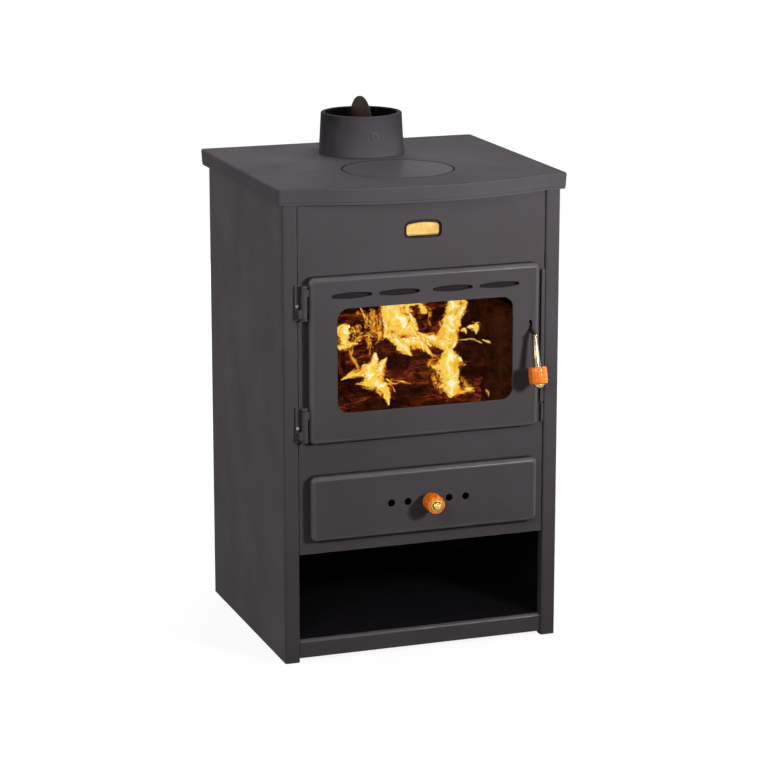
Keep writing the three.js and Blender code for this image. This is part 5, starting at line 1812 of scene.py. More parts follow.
@dataclass
class FireDoor(PressedFront):
    """The pressed door leaf, its window, air slots and glass."""

    face: float = -192.0
    width: float = 342.0
    height: float = 237.0
    middle: float = 438.5
    depth: float = 14.0
    skin: float = 3.0
    window: Point = (261.5, 149.0)
    window_middle: float = 437.0
    window_corner: float = 17.0
    slot_length: float = 59.0
    slot_height: float = 9.0
    slot_tip: float = 4.0
    slot_middle: float = 529.5
    slot_offsets: tuple[float, ...] = (-109.5, -39.5, 39.5, 109.5)
    lever_x: float = 157.5
    lever_slot: Point = (459.5, 475.5)
    lever_slot_width: float = 5.0
    glass_lap: float = 10.0
    glass: float = 4.0
    gasket: float = 1.6
    gasket_margin: float = 3.0
    shade_half: float = 7.0
    shade_depth: float = 4.75
    shade_sheet: float = 1.5

    def around_window(self, extra: float, corner: float, steps: int = 10) -> list[Point]:
        """Returns the window's outline, wider and higher by an extra size."""
        width, height = self.window
        return rounded_outline(width + extra, height + extra, corner, (0, self.window_middle), steps)

    def lens(self, x: float) -> list[Point]:
        """Returns the outline of one lens-shaped air slot: two shallow arcs between blunt ends.

        Args:
            x: Where the slot's middle is.

        Returns:
            The outline's points in order.
        """
        half = self.slot_length / 2
        points = []
        for way in (1, -1):
            for i in range(15):
                along = way * (1 - 2 * i / 14)
                rise = self.slot_tip / 2 + (self.slot_height - self.slot_tip) / 2 * (1 - along**2)
                points.append((x + along * half, self.slot_middle + way * rise))
        return points

    def leaf(self) -> None:
        """Builds the pressed leaf with its window, four air slots and the handle's slot."""
        work = Workpiece("door_leaf_pressing")
        low, high = self.lever_slot
        slot = rounded_outline(self.lever_slot_width, high - low, 2.4, (self.lever_x, (low + high) / 2), 6)
        window = self.around_window(0.0, self.window_corner, 12)
        self.pressed(work, [window, *[self.lens(x) for x in self.slot_offsets], slot])
        work.finish(
            "fire_door", "paint", (Look.PAINT, Look.PAINT), ["door_leaf"], wall=self.skin,
            outward=FORWARDS, rounding=0.45,
        )

    def pane(self) -> None:
        """Builds the glass with ground edges, and the tape between glass and leaf."""
        lap, margin = 2 * self.glass_lap, self.gasket_margin
        level = self.face + self.skin + GAP
        work = Workpiece("door_glass_pane")
        ring = work.loop(self.around_window(lap, 3.0, 5), Plane.FRONT, level + self.gasket + GAP)
        work.fill(ring)
        work.fill(work.pull(ring, (0, self.glass, 0)))
        work.finish("fire_door", "door_glazing", (Look.GLASS,), ["door_glass"], rounding=0.5)
        tape = Workpiece("window_gasket_tape")
        outlines = [self.around_window(extra, self.window_corner) for extra in (lap - margin, margin)]
        tape.fill(*[tape.loop(outline, Plane.FRONT, level) for outline in outlines])
        tape.finish(
            "fire_door", "rope_seal", (Look.ROPE,), ["window_gasket"], wall=self.gasket, outward=FORWARDS,
            rounding=0.4,
        )

    def shade(self) -> None:
        """Builds the plate that shows behind the air slots."""
        length = self.slot_offsets[-1] - self.slot_offsets[0] + self.slot_length + 2 * self.slot_tip
        inside = self.face + self.skin
        back = inside + self.shade_depth
        low, high = self.slot_middle - self.shade_half, self.slot_middle + self.shade_half
        work = Workpiece("slot_shade_plate")
        path = [(inside + GAP, high), (back, high), (back, low)]
        work.folded(path, Plane.SIDE, -length / 2, length / 2, self.shade_sheet)
        # The plate takes the darker slot-plate paint: painted shade behind the slots.
        work.finish(
            "fire_door", "paint", (Look.SHADE,), ["slot_shade"], wall=self.shade_sheet, wall_offset=0.0,
            outward=FORWARDS, rounding=0.2,
        )

    def build(self) -> None:
        """Builds the door's pieces."""
        self.leaf()
        self.pane()
        self.shade()


@dataclass
class Hinge:
    """One of the two door hinges: the frame's bracket, the pin, the bolt and the door's knuckle."""

    level: str
    foot: float
    axis: Point = (-177.5, -187.6)
    barrel: float = 4.5
    pin_foot: float = 3.5
    frame_knuckle: float = 18.5
    door_knuckle: float = 22.5
    length: float = 49.9
    plate: Triple = (-189.5, 8.0, 2.5)
    lug_height: float = 11.0
    lug_thickness: float = 4.6
    leaf_edge: float = -171.3
    bolt_rise: float = 20.5
    bolt_inset: float = 3.5
    bolt_radius: float = 3.2
    bolt_dome: float = 2.4
    pin_radius: float = 2.4

    def build(self) -> None:
        """Builds the hinge's pieces."""
        x, y = self.axis
        low = self.foot + self.pin_foot + GAP
        split = low + self.frame_knuckle + GAP
        top = split + self.door_knuckle
        left, width, thick = self.plate
        back = FRONT_OF_BODY - GAP
        bracket = Workpiece(f"hinge_bracket_{self.level}_plate")
        bracket.slab((left, back - thick, self.foot), (left + width, back, self.foot + self.length), 0.6)
        bracket.slab((left + width / 2, y - 2.0, low + 0.6), (x, back - thick / 2, low + 12), 0.5)
        bracket.rod((x, y, low), (x, y, low + self.frame_knuckle), self.barrel, 0.5)
        bracket.finish("stove", "paint", (Look.PAINT,), [f"hinge_bracket_{self.level}"])
        pin = Workpiece(f"hinge_pin_{self.level}_steel")
        pin.rod((x, y, self.foot), (x, y, self.foot + self.pin_foot), self.barrel, 0.8)
        pin.rod((x, y, self.foot + 1), (x, y, top + 2), self.pin_radius)
        pin.rod((x, y, top + GAP), (x, y, self.foot + self.length), self.barrel, 1.8)
        pin.finish("stove", "steel", (Look.PAINT,), [f"hinge_pin_{self.level}"])
        knuckle = Workpiece(f"door_knuckle_{self.level}_barrel")
        knuckle.rod((x, y, split), (x, y, top), self.barrel, 0.5)
        half = self.lug_thickness / 2
        knuckle.slab((x, y - half, top - self.lug_height), (self.leaf_edge, y + half, top - 0.4), 0.5)
        knuckle.finish("fire_door", "paint", (Look.PAINT,), [f"door_knuckle_{self.level}"])
        bolt = Workpiece(f"hinge_bolt_{self.level}_head")
        dome = [(self.bolt_radius * math.cos(a), self.bolt_dome * math.sin(a)) for a in (0.0, 0.35, 0.7, 1.0)]
        verts = bolt.spin([(0, -6), (2, -6), (2, 0), *dome, (1.3, 2.2), (1.1, 1.1), (0, 0.9)], 32)
        spot = Matrix.Translation((left + self.bolt_inset, back - thick - GAP, self.foot + self.bolt_rise))
        bolt.move(verts, spot @ TO_FRONT)
        bolt.finish("stove", "steel", (Look.ZINC,), [f"hinge_bolt_{self.level}"])


@dataclass
class Grip:
    """A turned wooden grip with two grooves and its brass dome nut, with its hole along z from zero down."""

    radius: float = 13.5
    end_radius: float = 12.1
    length: float = 24.0
    groove: float = 0.6
    groove_half: float = 0.9
    stud: float = 2.8
    washer_radius: float = 8.6
    washer: float = 1.3
    nut_radius: float = 6.8
    nut_rise: float = 7.4
    nut_hole: float = 3.8
    chamfer: float = 1.2

    def wood(self, name: str) -> Workpiece:
        """Turns the grip and returns its workpiece.

        Args:
            name: The piece's name.

        Returns:
            The workpiece.
        """
        work = Workpiece(name)
        profile: list[Point] = [(self.stud, -self.length), (self.end_radius - self.chamfer, -self.length)]
        grooves = (-self.length / 3, -2 * self.length / 3)
        for i in range(41):
            z = -self.length + 0.5 + (self.length - 1.0) * i / 40
            along = 2 * z / self.length + 1
            radius = self.end_radius + (self.radius - self.end_radius) * math.sqrt(max(0.0, 1 - along**2))
            dip = max(max(0.0, 1 - abs(z - at) / self.groove_half) for at in grooves)
            profile.append((radius - self.groove * dip, z))
        profile += [(self.end_radius - self.chamfer, 0.0), (self.stud, 0.0)]
        work.spin(profile, 64, closed=True)
        return work

    def nut(self, name: str) -> Workpiece:
        """Turns the dome nut and returns its workpiece.

        Args:
            name: The piece's name.

        Returns:
            The workpiece.
        """
        work = Workpiece(name)
        angles = [math.pi / 2 * i / 14 for i in range(14)]
        dome = [(self.nut_radius * math.cos(a), -self.washer - self.nut_rise * math.sin(a)) for a in angles]
        edge = self.washer_radius
        rim = [(edge - 0.3, 0.0), (edge, -0.3), (edge, 0.4 - self.washer), (edge - 0.4, -self.washer)]
        hole = [(0.0, -self.nut_hole), (self.stud, -self.nut_hole), (self.stud, 0.0)]
        work.spin([*hole, *rim, *dome, (0.0, -self.washer - self.nut_rise)], 48)
        return work


@dataclass
class DoorHandle:
    """The latch lever, its flared brass rod, the wooden grip and the dome nut."""

    pivot: Triple = (157.5, -184.5, 467.0)
    thickness: float = 4.0
    bar: float = 5.0
    knee: Point = (-23.5, -11.0)
    finger: Point = (16.5, 1.0)
    lean: float = math.radians(14)
    rod_length: float = 44.0
    rod_top: float = 3.5
    rod_foot: float = 5.0
    collar_radius: float = 5.0
    collar_length: float = 4.0
    boss_radius: float = 3.5
    stud_radius: float = 2.5
    stud_reach: float = 3.5
    nut_rise: float = 4.4

    def hang(self) -> Matrix:
        """Returns the place and lean of what hangs from the knee.

        Returns:
            The turn and the shift in one matrix.
        """
        x, y, z = self.pivot
        knee = Matrix.Translation((x, y + self.knee[0], z + self.knee[1]))
        return knee @ Matrix.Rotation(-self.lean, 4, "X")

    def build(self) -> None:
        """Builds the handle's pieces."""
        x, y, z = self.pivot
        lever = Workpiece("latch_lever_bar")
        path = [(y + back, z + rise) for back, rise in (self.finger, (0, 0), self.knee)]
        lever.folded(path, Plane.SIDE, x - self.thickness / 2, x + self.thickness / 2, 5.0, 6)
        lever.finish(
            "door_handle", "steel", (Look.BLACKENED,), ["latch_lever"], wall=self.bar, wall_offset=0.0,
            outward=(0, 0, 1), rounding=0.7,
        )
        boss = Workpiece("latch_lever_boss")
        side = self.thickness / 2 + 0.1
        boss.rod((x - side, y, z), (x + side, y, z), self.boss_radius, 0.5)
        boss.finish("door_handle", "steel", (Look.BLACKENED,))
        half = self.collar_length / 2
        collar = Workpiece("latch_lever_collar")
        collar.rod((0, 0, -half), (0, 0, half), self.collar_radius, 1.0)
        collar.move(collar.bm.verts, self.hang())
        collar.finish("door_handle", "steel", (Look.HANDLE_BRASS,))
        rod = Workpiece("handle_rod_brass")
        grip = Grip(nut_rise=self.nut_rise)
        top = -half - GAP
        foot = -self.rod_length
        end = foot - grip.length - self.stud_reach
        grown = self.rod_foot - self.rod_top
        flare = [(self.rod_top + grown * (i / 8) ** 1.5, top + (foot - top) * i / 8) for i in range(9)]
        stud = [(self.stud_radius, foot), (self.stud_radius, end), (0.0, end)]
        profile = [(0.0, top), (self.rod_top - 0.4, top), *flare, *stud]
        rod.move(rod.spin(profile, 48), self.hang())
        rod.finish("door_handle", "brass", (Look.HANDLE_BRASS,), ["handle_rod"])
        wood = grip.wood("handle_grip_wood")
        wood.move(wood.bm.verts, self.hang() @ Matrix.Translation((0, 0, foot - GAP)))
        wood.finish("door_handle", "amber_wood", (Look.AMBER,), ["handle_grip"])
        nut = grip.nut("handle_nut_dome")
        nut.move(nut.bm.verts, self.hang() @ Matrix.Translation((0, 0, foot - grip.length - 2 * GAP)))
        nut.finish("door_handle", "brass", (Look.BRASS,), ["handle_nut"])


@dataclass
class AshDrawer(PressedFront):
    """The drawer's pressed front with its air holes, and the air slide's knob."""

    face: float = -194.0
    width: float = 340.0
    height: float = 94.0
    middle: float = 226.5
    depth: float = 16.0
    skin: float = 2.0
    air_x: float = 4.0
    hole_radius: float = 5.3
    holes: tuple[float, ...] = (-56.0, -31.0, 31.0, 56.0)
    travel: float = 12.5
    stud: float = 2.5
    standoff: float = 8.0
    slot_height: float = 5.6
    collar_radius: float = 5.0
    slide: Triple = (150.0, 24.0, 1.5)

    def air_holes(self) -> list[list[Point]]:
        """Returns the outlines of the air holes."""
        return [round_outline(self.hole_radius, (self.air_x + x, self.middle), 40) for x in self.holes]

    def front(self) -> None:
        """Builds the drawer's front."""
        work = Workpiece("drawer_front_pressing")
        width = 2 * (self.stud + GAP) + self.travel + 2 * GAP
        slot = rounded_outline(width, self.slot_height, 2.5, (self.air_x + self.travel / 2, self.middle), 6)
        self.pressed(work, [*self.air_holes(), slot])
        work.finish(
            "ash_drawer", "paint", SHEET, ["drawer_front"], wall=self.skin,
            outward=FORWARDS, rounding=0.4,
        )

    def control(self) -> None:
        """Builds the air slide, its stud, the wooden knob and the dome nut."""
        x, z = self.air_x, self.middle
        width, height, thickness = self.slide
        behind = self.face + self.skin + GAP
        front = behind - self.skin - GAP
        seat = front - self.standoff
        plate = Workpiece("air_slide_plate")
        outlines = [rounded_outline(width, height, 2.0, (x, z), 4), *self.air_holes()]
        plate.fill(*[plate.loop(outline, Plane.FRONT, behind) for outline in outlines])
        # The slide plate takes the near-black inner finish: painted shade behind the air holes.
        plate.finish(
            "air_control", "steel", (Look.INNER,), ["air_slide"], wall=thickness, outward=FORWARDS,
            rounding=0.2,
        )
        stud = Workpiece("air_slide_stud")
        grip = Grip()
        stud.rod((x, behind + 0.5, z), (x, seat - grip.length - 3.0, z), self.stud)
        stud.rod((x, front - 0.6, z), (x, seat + 0.4, z), self.collar_radius, 0.6)
        stud.finish("air_control", "steel", (Look.BRASS,))
        place = Matrix.Translation((x, seat, z)) @ TO_BACK
        wood = grip.wood("air_knob_wood")
        wood.move(wood.bm.verts, place)
        wood.finish("air_control", "amber_wood", (Look.AMBER,), ["air_knob"])
        nut = grip.nut("air_knob_nut_dome")
        nut.move(nut.bm.verts, place @ Matrix.Translation((0, 0, -grip.length - GAP)))
        nut.finish("air_control", "brass", (Look.BRASS,), ["air_knob_nut"])

    def build(self) -> None:
        """Builds the drawer's pieces."""
        self.front()
        self.control()


@dataclass(frozen=True)
class FireLog:
    """One split log in the fire."""

    name: str
    start: Triple
    end: Triple
    radius: float
    seed: float
    rings: int = 44

    def build(self) -> None:
        """Builds the log as a rough, tapered and cracked stem."""
        length = (Vector(self.end) - Vector(self.start)).length
        half = length / 2
        work = Workpiece(self.name)
        shares = [i / self.rings for i in range(self.rings + 1)]
        body = [(self.radius * (1 - 0.12 * abs(share - 0.4)), -half + length * share) for share in shares]
        verts = work.spin([(0.0, -half), *body, (0.0, half)], 56)
        for v in verts:
            spot = v.co.copy()
            around = Vector((spot.x, spot.y, 0.0))
            if around.length < 0.01:
                continue
            wide = noise.noise((spot.x / 22, spot.y / 22, spot.z / 90 + self.seed))
            ridges = noise.noise((spot.x / 5, spot.y / 5, spot.z / 26 - self.seed))
            pits = noise.noise((spot.x / 2.6, spot.y / 2.6, spot.z / 5 + 2 * self.seed))
            v.co += around.normalized() * (self.radius * (0.34 * wide + 0.12 * ridges) + 0.9 * pits)
            v.co.x += 5.0 * math.sin(spot.z / 55 + self.seed)
        work.move(work.bm.verts, laid(self.start, self.end))
        work.finish("stove", "amber_wood", (Look.BARK,), smooth=60)


@dataclass(frozen=True)
class FlameTongue:
    """One tongue of flame: a spine of (x, z, half width) stations, at a depth, pointed at both ends."""

    name: str
    depth: float
    heat: float
    stations: tuple[Triple, ...]
    thickness: float = 0.34
    spread: float = 1.34

    def spine(self, share: float) -> tuple[Vector, float]:
        """Returns the point and half width at a share of the smooth curve through the stations.

        Args:
            share: How far along the curve, from 0 to 1.

        Returns:
            The point and the half width.
        """
        spots = [Vector(s) for s in self.stations]
        spots = [2 * spots[0] - spots[1], *spots, 2 * spots[-1] - spots[-2]]
        at = share * (len(spots) - 3)
        i = min(int(at), len(spots) - 4)
        t = at - i
        a, b, c, d = spots[i : i + 4]
        bend = 2 * a - 5 * b + 4 * c - d
        twist = 3 * b - a - 3 * c + d
        mid = 0.5 * (2 * b + (c - a) * t + bend * t * t + twist * t**3)
        return Vector((mid.x, mid.y)), max(0.15, mid.z)

    def build(self) -> None:
        """Builds the tongue with a ragged rim, and writes how hot each point is."""
        work = Workpiece(self.name)
        heat, over, run = [work.bm.verts.layers.float.new(name) for name in FLAME_MARKS]
        steps = 14 * (len(self.stations) - 1)
        rings = []
        length = 0.0
        last = self.spine(0.0)[0]
        for i in range(steps + 1):
            share = i / steps
            middle, half = self.spine(share)
            length += (middle - last).length
            last = middle
            ahead = self.spine(min(1.0, share + 0.01))[0] - self.spine(max(0.0, share - 0.01))[0]
            across = Vector((-ahead.y, ahead.x)).normalized()
            ring = work.loop(round_outline(1.0, steps=24), Plane.FRONT)
            for v in {v for edge in ring for v in edge.verts}:
                side, front = v.co.x, v.co.z
                lick = noise.noise((middle.x / 9 + side, middle.y / 13, self.depth / 3))
                tear = noise.noise((middle.x / 3.4, middle.y / 4.2 + 5 * side, self.depth / 5))
                curl = noise.noise((middle.x / 1.9, middle.y / 2.3 + 9 * side, self.depth / 7))
                reach = self.spread * half * side * (1 + 0.5 * lick + 0.42 * tear + 0.24 * curl)
                flat = Vector(middle) + across * reach
                v[over] = side * half * MM
                v[run] = length * MM
                v[heat] = self.heat * (1 - abs(side) ** 1.5) * min(1.0, 0.65 + half / 9)
                v.co = Vector((flat.x, self.depth + front * half * self.thickness + 3 * lick, flat.y))
            rings.append(ring)
        work.bridge(rings)
        work.fill(rings[0])
        work.fill(rings[-1])
        work.finish("stove", "door_glazing", (Look.FLAME,), smooth=80)


@dataclass
class Fire:
    """What burns behind the glass: split logs, an ember bed and flames."""

    bed: tuple[float, float, float, float] = (-118.0, 118.0, -120.0, 60.0)
    bed_level: float = 301.0
    lumps: int = 90

    def logs(self) -> None:
        """Builds the logs."""
        stack = (
            FireLog("log_low_right", (4, -44, 336), (134, -34, 338), 30, 1.3),
            FireLog("log_low_left", (-132, -40, 334), (6, -46, 336), 28, 4.1),
            FireLog("log_upper_right", (24, -42, 390), (136, -52, 386), 30, 7.7),
            FireLog("log_upper_left", (-66, -16, 392), (40, -26, 394), 26, 5.2),
            FireLog("log_rear_left", (-126, 34, 362), (30, 50, 356), 34, 2.9),
            FireLog("log_rear_top", (-120, 50, 418), (20, 60, 412), 28, 3.6),
            FireLog("log_rear_right", (20, 60, 420), (130, 34, 424), 34, 9.2),
        )
        for fire_log in stack:
            fire_log.build()

    def embers(self) -> None:
        """Builds the bed of glowing lumps on the grate."""
        work = Workpiece("ember_bed_lumps")
        left, right, near, far = self.bed
        for i in range(self.lumps):
            x = left + (right - left) * ((i * 0.618) % 1.0)
            y = near + (far - near) * ((i * 0.414) % 1.0)
            size = 7 + 5 * abs(noise.noise((i * 1.7, 3.1, 0.4)))
            verts = bmesh.ops.create_icosphere(work.bm, subdivisions=3, radius=size)["verts"]
            for v in verts:
                v.co *= 1 + 0.35 * noise.noise(v.co / 6 + Vector((i, 0, 0)))
            flat = Matrix.Diagonal((1.2, 1.0, 0.75, 1.0))
            turn = Matrix.Rotation(i * 2.4, 4, "Z")
            work.move(verts, Matrix.Translation((x, y, self.bed_level + size * 0.6)) @ turn @ flat)
        work.finish("stove", "amber_wood", (Look.EMBER,), smooth=60)

    def flames(self) -> None:
        """Builds the flames."""
        for flame in FLAMES:
            flame.build()

    def build(self) -> None:
        """Builds the fire."""
        self.logs()
        self.embers()
        self.flames()


FLAMES = tuple(
    FlameTongue("flame_" + name, depth, heat, stations)
    for name, depth, heat, stations in (
        ("crown_left", -100, 1, (
            (20, 443, 1.5), (8, 454, 10.4), (-6, 465, 17.3), (-16, 479, 15.3), (-19, 491, 14.3),
            (-20, 506, 12.3),
        )),
        ("crown_edge", -98, 0.85, (
            (-28, 443, 1.5), (-27, 457, 4.4), (-28, 472, 5.9), (-29, 486, 5.4), (-30, 501, 4.4),
        )),
        ("crown_band", -96, 0.9, ((-15, 490, 6.4), (6, 491, 4.9), (23, 491, 3), (40, 492, 1.5))),
        ("crown_loop", -102, 1, ((20, 452, 2.5), (13, 462, 5.9), (7, 474, 5.4), (4, 484, 3.5), (6, 491, 2))),
        ("crown_drop", -94, 0.8, ((37, 474, 1.5), (33, 479, 5.4), (29, 485, 4.4), (25, 491, 2.5))),
        ("column", -98, 0.95, (
            (66, 415, 2.5), (64, 428, 9.9), (67, 443, 14.3), (71, 457, 12.3), (73, 472, 9.4), (75, 486, 10.4),
            (77, 502, 10.9),
        )),
        ("column_wing", -100, 0.9, (
            (66, 425, 7.4), (54, 432, 9.4), (42, 438, 6.4), (31, 443, 3.5), (20, 449, 1.2),
        )),
        ("column_right", -95, 0.75, (
            (84, 453, 2.5), (86, 465, 5.4), (91, 477, 6.4), (94, 484, 4.9), (88, 490, 2),
        )),
        ("column_root", -96, 0.8, ((78, 442, 4.9), (80, 429, 4), (73, 419, 2.5), (70, 410, 1.5))),
        ("heart", -108, 1, (
            (64, 424, 2), (66, 413, 11.4), (64, 401, 18.3), (66, 387, 15.8), (68, 374, 13.3), (71, 360, 11.9),
            (68, 350, 2),
        )),
        ("heart_left", -106, 0.85, ((63, 403, 8.9), (52, 397, 6.4), (43, 397, 3), (39, 401, 1))),
        ("heart_right", -104, 0.85, ((73, 412, 5.9), (81, 405, 5.9), (89, 401, 1.2))),
        ("heart_foot", -104, 0.7, ((76, 360, 7.4), (86, 358, 5.4), (97, 359, 3.5), (107, 360, 1))),
        ("left_low", -112, 1, (
            (-47, 426, 1.5), (-50, 413, 7.4), (-54, 400, 15.3), (-50, 388, 13.8), (-37, 376, 8.9),
            (-30, 363, 5.9), (-28, 348, 1.5),
        )),
        ("left_tail", -110, 0.8, ((-55, 399, 10.4), (-70, 399, 6.9), (-84, 395, 3.2), (-98, 390, 0.7))),
        ("left_lobe", -110, 0.9, ((-43, 388, 7.4), (-40, 400, 6.9), (-35, 410, 4.2), (-30, 418, 1))),
        ("left_nub", -108, 0.7, ((-47, 383, 7.4), (-59, 380, 4.9), (-74, 382, 1))),
        ("left_spark", -106, 0.55, ((-28, 378, 1.5), (-22, 377, 2), (-15, 365, 0.7))),
        ("left_streak", -106, 0.5, ((-22, 384, 1.2), (-8, 380, 1), (6, 375, 0.5))),
        ("edge_left", -116, 1, (
            (-96, 441, 3.5), (-96, 452, 8.4), (-96, 461, 10.4), (-93, 467, 6.9), (-87, 469, 1.5),
        )),
        ("edge_low", -114, 0.75, ((-103, 437, 4.9), (-96, 440, 5.9), (-86, 442, 3.5), (-74, 442, 1))),
        ("edge_strand", -112, 0.45, (
            (-73, 406, 1), (-77, 415, 2.2), (-83, 424, 2.5), (-82, 435, 2), (-78, 445, 1.2),
        )),
        ("band", -90, 0.95, ((-26, 446, 3.5), (-16, 444, 6.4), (-5, 435, 7.4), (4, 424, 7.4), (16, 412, 1))),
        ("band_right", -88, 0.85, (
            (-1, 434, 5.9), (12, 433, 8.4), (28, 428, 7.9), (39, 419, 4.4), (50, 408, 1),
        )),
        ("band_top", -87, 0.85, ((9, 437, 3.5), (24, 439, 4.9), (37, 433, 4), (47, 423, 1.5))),
        ("small_right", -92, 0.9, (
            (100, 448, 1.2), (107, 449, 4.4), (113, 447, 5.4), (114, 442, 3), (113, 437, 1),
        )),
        ("small_root", -90, 0.8, ((91, 443, 1.2), (96, 444, 3), (100, 439, 1.2))),
        ("streak_one", -88, 0.55, ((91, 429, 0.7), (109, 429, 1.5), (125, 422, 0.7))),
        ("streak_two", -88, 0.75, ((125, 427, 0.7), (133, 424, 1.7), (142, 419, 0.5))),
        ("strand_one", -95, 0.34, (
            (-45, 429, 1.2), (-51, 444, 3.5), (-44, 458, 4.9), (-41, 470, 5.4), (-48, 482, 2.5),
        )),
        ("strand_two", -95, 0.34, ((-37, 438, 2), (-33, 450, 4), (-35, 464, 4), (-31, 479, 2.5))),
        ("strand_three", -96, 0.32, (
            (-77, 435, 1.2), (-69, 443, 3.2), (-57, 450, 4.4), (-45, 453, 3.5), (-35, 450, 1.5),
        )),
        ("strand_four", -95, 0.30, ((-49, 414, 1), (-49, 427, 2.2), (-43, 436, 2.2), (-29, 441, 1.2))),
        ("strand_five", -94, 0.40, ((-52, 472, 0.7), (-56, 478, 1.2), (-61, 487, 0.7))),
        ("strand_six", -96, 0.29, ((-70, 453, 1.5), (-67, 460, 4), (-72, 464, 2))),
        ("haze_left_high", -86, 0.28, (
            (-66, 482, 2.4), (-57, 475, 6.6), (-47, 466, 9.1), (-40, 453, 9.1), (-45, 441, 6),
            (-50, 426, 2.4),
        )),
        ("haze_left_inner", -84, 0.30, (
            (-45, 484, 3), (-40, 474, 7.2), (-35, 460, 8.5), (-31, 445, 5.5), (-30, 436, 1.8),
        )),
        ("haze_edge", -85, 0.26, (
            (-80, 460, 3), (-72, 454, 6.6), (-65, 446, 7.2), (-71, 438, 4.8), (-77, 432, 2.4),
        )),
        ("haze_loop", -111, 0.33, (
            (-84, 442, 1.2), (-86, 431, 2.1), (-82, 421, 2.4), (-77, 412, 2.1), (-72, 405, 0.9),
        )),
        ("haze_heart_left", -93, 0.30, (
            (49, 411, 1.8), (43, 400, 4.3), (48, 385, 4.9), (52, 369, 4.3), (60, 354, 1.9),
        )),
        ("haze_foot_right", -99, 0.33, ((89, 375, 1.9), (94, 366, 4.3), (102, 359, 5), (110, 354, 2.5))),
        ("foot_spark", -97, 0.6, ((128, 355, 0.6), (131, 349, 1.9), (132, 343, 0.6))),
        ("haze_top_drop", -83, 0.28, ((41, 481, 1.2), (46, 472, 3.1), (44, 460, 3.1), (47, 451, 0.9))),
        ("whisker_left_one", -115, 0.85, ((-100, 391, 0.6), (-88, 396, 1.8), (-76, 399, 3), (-64, 403, 1.8))),
        ("whisker_left_two", -113, 0.75, ((-78, 383, 0.6), (-66, 384, 1.5), (-54, 385, 1.8))),
        ("whisker_left_three", -117, 0.75, ((-33, 388, 1.2), (-21, 380, 1.2), (-9, 383, 0.9), (5, 377, 0.3))),
        ("whisker_crown", -82, 0.85, ((24, 445, 1.2), (33, 437, 1.8), (42, 418, 1.2), (61, 402, 0.6))),
        ("tip_spark", -81, 0.8, ((-60, 487, 0.6), (-56, 480, 1.2), (-53, 474, 0.6))),
    )
)
"""The fire's tongues, by name, depth, heat and stations."""


# Studio


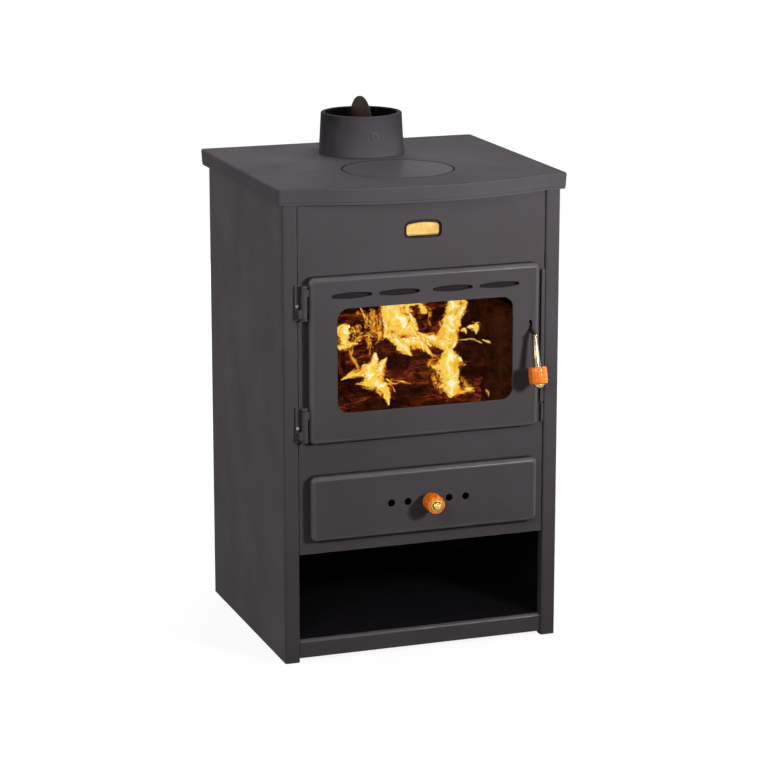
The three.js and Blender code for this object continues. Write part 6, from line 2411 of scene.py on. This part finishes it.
@dataclass
class Studio:
    """The pale floor, the soft lamps, the background and the camera."""

    lens: float = 133.11
    camera_at: Triple = (-1.3474, -3.8012, 1.3396)
    yaw: float = 19.4935
    pitch: float = 13.7145
    world_strength: float = 0.12
    floor_tone: float = 0.13
    floor_size: float = 80.0
    floor_drop: float = 0.0002

    def world(self) -> None:
        """Gives the scene a white background and a soft, even light."""
        world = bpy.data.worlds.new("soft_studio")
        board = Board.cleared(world)
        lit = board.node("ShaderNodeBackground", {"Color": WHITE, "Strength": self.world_strength})
        shown = board.node("ShaderNodeBackground", {"Color": WHITE, "Strength": 1.0})
        mixed = board.node("ShaderNodeMixShader", {0: board.seen(), 1: lit.outputs[0], 2: shown.outputs[0]})
        board.node("ShaderNodeOutputWorld", {"Surface": mixed.outputs[0]})
        bpy.context.scene.world = world

    def floor(self) -> None:
        """Lays the pale floor, which shows white and keeps the stove's shadow."""
        bm = bmesh.new()
        bmesh.ops.create_grid(bm, x_segments=1, y_segments=1, size=self.floor_size / 2)
        mesh = bpy.data.meshes.new("pale_floor")
        bm.to_mesh(mesh)
        bm.free()
        floor = add_object("pale_floor", mesh)
        floor.location.z = -self.floor_drop
        material = bpy.data.materials.new("pale_floor")
        board = Board.cleared(material)
        place = board.node("ShaderNodeTexCoord").outputs["Object"]
        grey = self.floor_tone
        tone = board.remap(board.noise(place, 3.0, 3.0), 0.3, 0.7, grey - 0.02, grey + 0.02)
        colour = board.node("ShaderNodeCombineColor", {0: tone, 1: tone, 2: tone})
        paint = board.node("ShaderNodeBsdfDiffuse", {"Color": colour.outputs[0]})
        away = board.node("ShaderNodeVectorMath", {0: place}, operation="LENGTH").outputs["Value"]
        level = board.remap(away, 0.5, 1.8, 0.9, 1.0)
        glow = board.node("ShaderNodeEmission", {"Color": WHITE, "Strength": level})
        both = board.node("ShaderNodeAddShader", {0: paint.outputs[0], 1: glow.outputs[0]})
        mixed = board.node("ShaderNodeMixShader", {0: board.seen(), 1: paint.outputs[0], 2: both.outputs[0]})
        board.node("ShaderNodeOutputMaterial", {"Surface": mixed.outputs[0]})
        mesh.materials.append(material)
        floor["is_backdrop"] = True

    @staticmethod
    def lamp(
        name: str, at: Triple, power: float, size: float, target: Triple = (0, 0, 0.4), spread: float = 180.0
    ) -> None:
        """Hangs a square soft lamp.

        Args:
            name: The lamp's name.
            at: Where it hangs.
            power: Its power in watts.
            size: Its side in metres.
            target: What it is aimed at.
            spread: How wide it shines, in degrees.
        """
        data = bpy.data.lights.new(name, "AREA")
        data.spread = math.radians(spread)
        data.energy = power
        data.size = size
        lamp = add_object(name, data)
        lamp.location = at
        aim = Vector(target) - Vector(at)
        lamp.rotation_euler = aim.to_track_quat("-Z", "Y").to_euler()

    def camera(self) -> None:
        """Sets the camera at the photograph's viewing angle."""
        data = bpy.data.cameras.new("photograph_view")
        data.lens = self.lens
        data.sensor_width = 36.0
        data.clip_start = 0.1
        data.clip_end = 200.0
        camera = add_object("photograph_view", data)
        camera.location = self.camera_at
        yaw, pitch = math.radians(self.yaw), math.radians(self.pitch)
        camera.rotation_euler = (math.pi / 2 - pitch, 0.0, -yaw)
        bpy.context.scene.camera = camera

    def build(self) -> None:
        """Sets up the studio."""
        self.world()
        self.floor()
        self.lamp("key_right", (0.7, -1.4, 0.84), 8.6, 0.24, (0.1, -0.15, 0.84), 100.0)
        self.lamp("fill_left", (-1.3, -1.6, 1.3), 11.5, 0.5)
        self.lamp("side_left", (-2.4, 0.1, 1.1), 22.0, 1.2)
        self.lamp("side_right", (2.4, 0.4, 0.8), 13.0, 1.2)
        self.lamp("top_soft", (0.3, 0.0, 2.4), 19.0, 1.2)
        self.lamp("rear_soft", (0.3, 2.6, 0.8), 46.0, 1.6)
        self.camera()
        bpy.context.scene.view_settings.view_transform = "Standard"


CARRIED_OVER: dict[Look, tuple[str, ...]] = {
    # Parts deep inside take the near-black inner finish, painted shade.
    Look.INNER: ("ash_deck", "firebox_shell", "drawer_runner_left", "drawer_runner_right"),
    Look.IRON: ("hearth_plate", "grate", "log_guard", "smoke_baffle", "ash_pan"),
    Look.BRICK: ("liner_left", "liner_right", "liner_back"),
    Look.ZINC: (
        "latch_keeper", "lever_pivot", "glass_clip_left_lower", "glass_clip_left_upper",
        "glass_clip_right_lower", "glass_clip_right_upper",
    ),
    Look.ROPE: ("door_seal",),
}


def corners(box: tuple[Vector, Vector]) -> list[list[float]]:
    """Returns a box's two corners as plain lists."""
    return [list(map(float, corner)) for corner in box]


def main() -> None:
    """Builds the stove's looks in order."""
    logging.basicConfig(level=logging.INFO, format="%(message)s")
    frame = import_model()
    frame_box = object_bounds()
    Workpiece.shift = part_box("side_panel_left")[0].y / MM - FRONT_OF_BODY
    Workpiece.palette = Palette()
    Workpiece.palette.dress(frame, CARRIED_OVER)
    Casing().build()
    FrontPanel().build()
    CookingTop().build()
    Flue().build()
    FireDoor().build()
    Hinge("upper", 497.0).build()
    Hinge("lower", 323.5).build()
    DoorHandle().build()
    AshDrawer().build()
    Fire().build()
    Studio().build()
    {"frame": corners(frame_box), "visual": corners(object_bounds())}


if __name__ == "__main__":
    main()
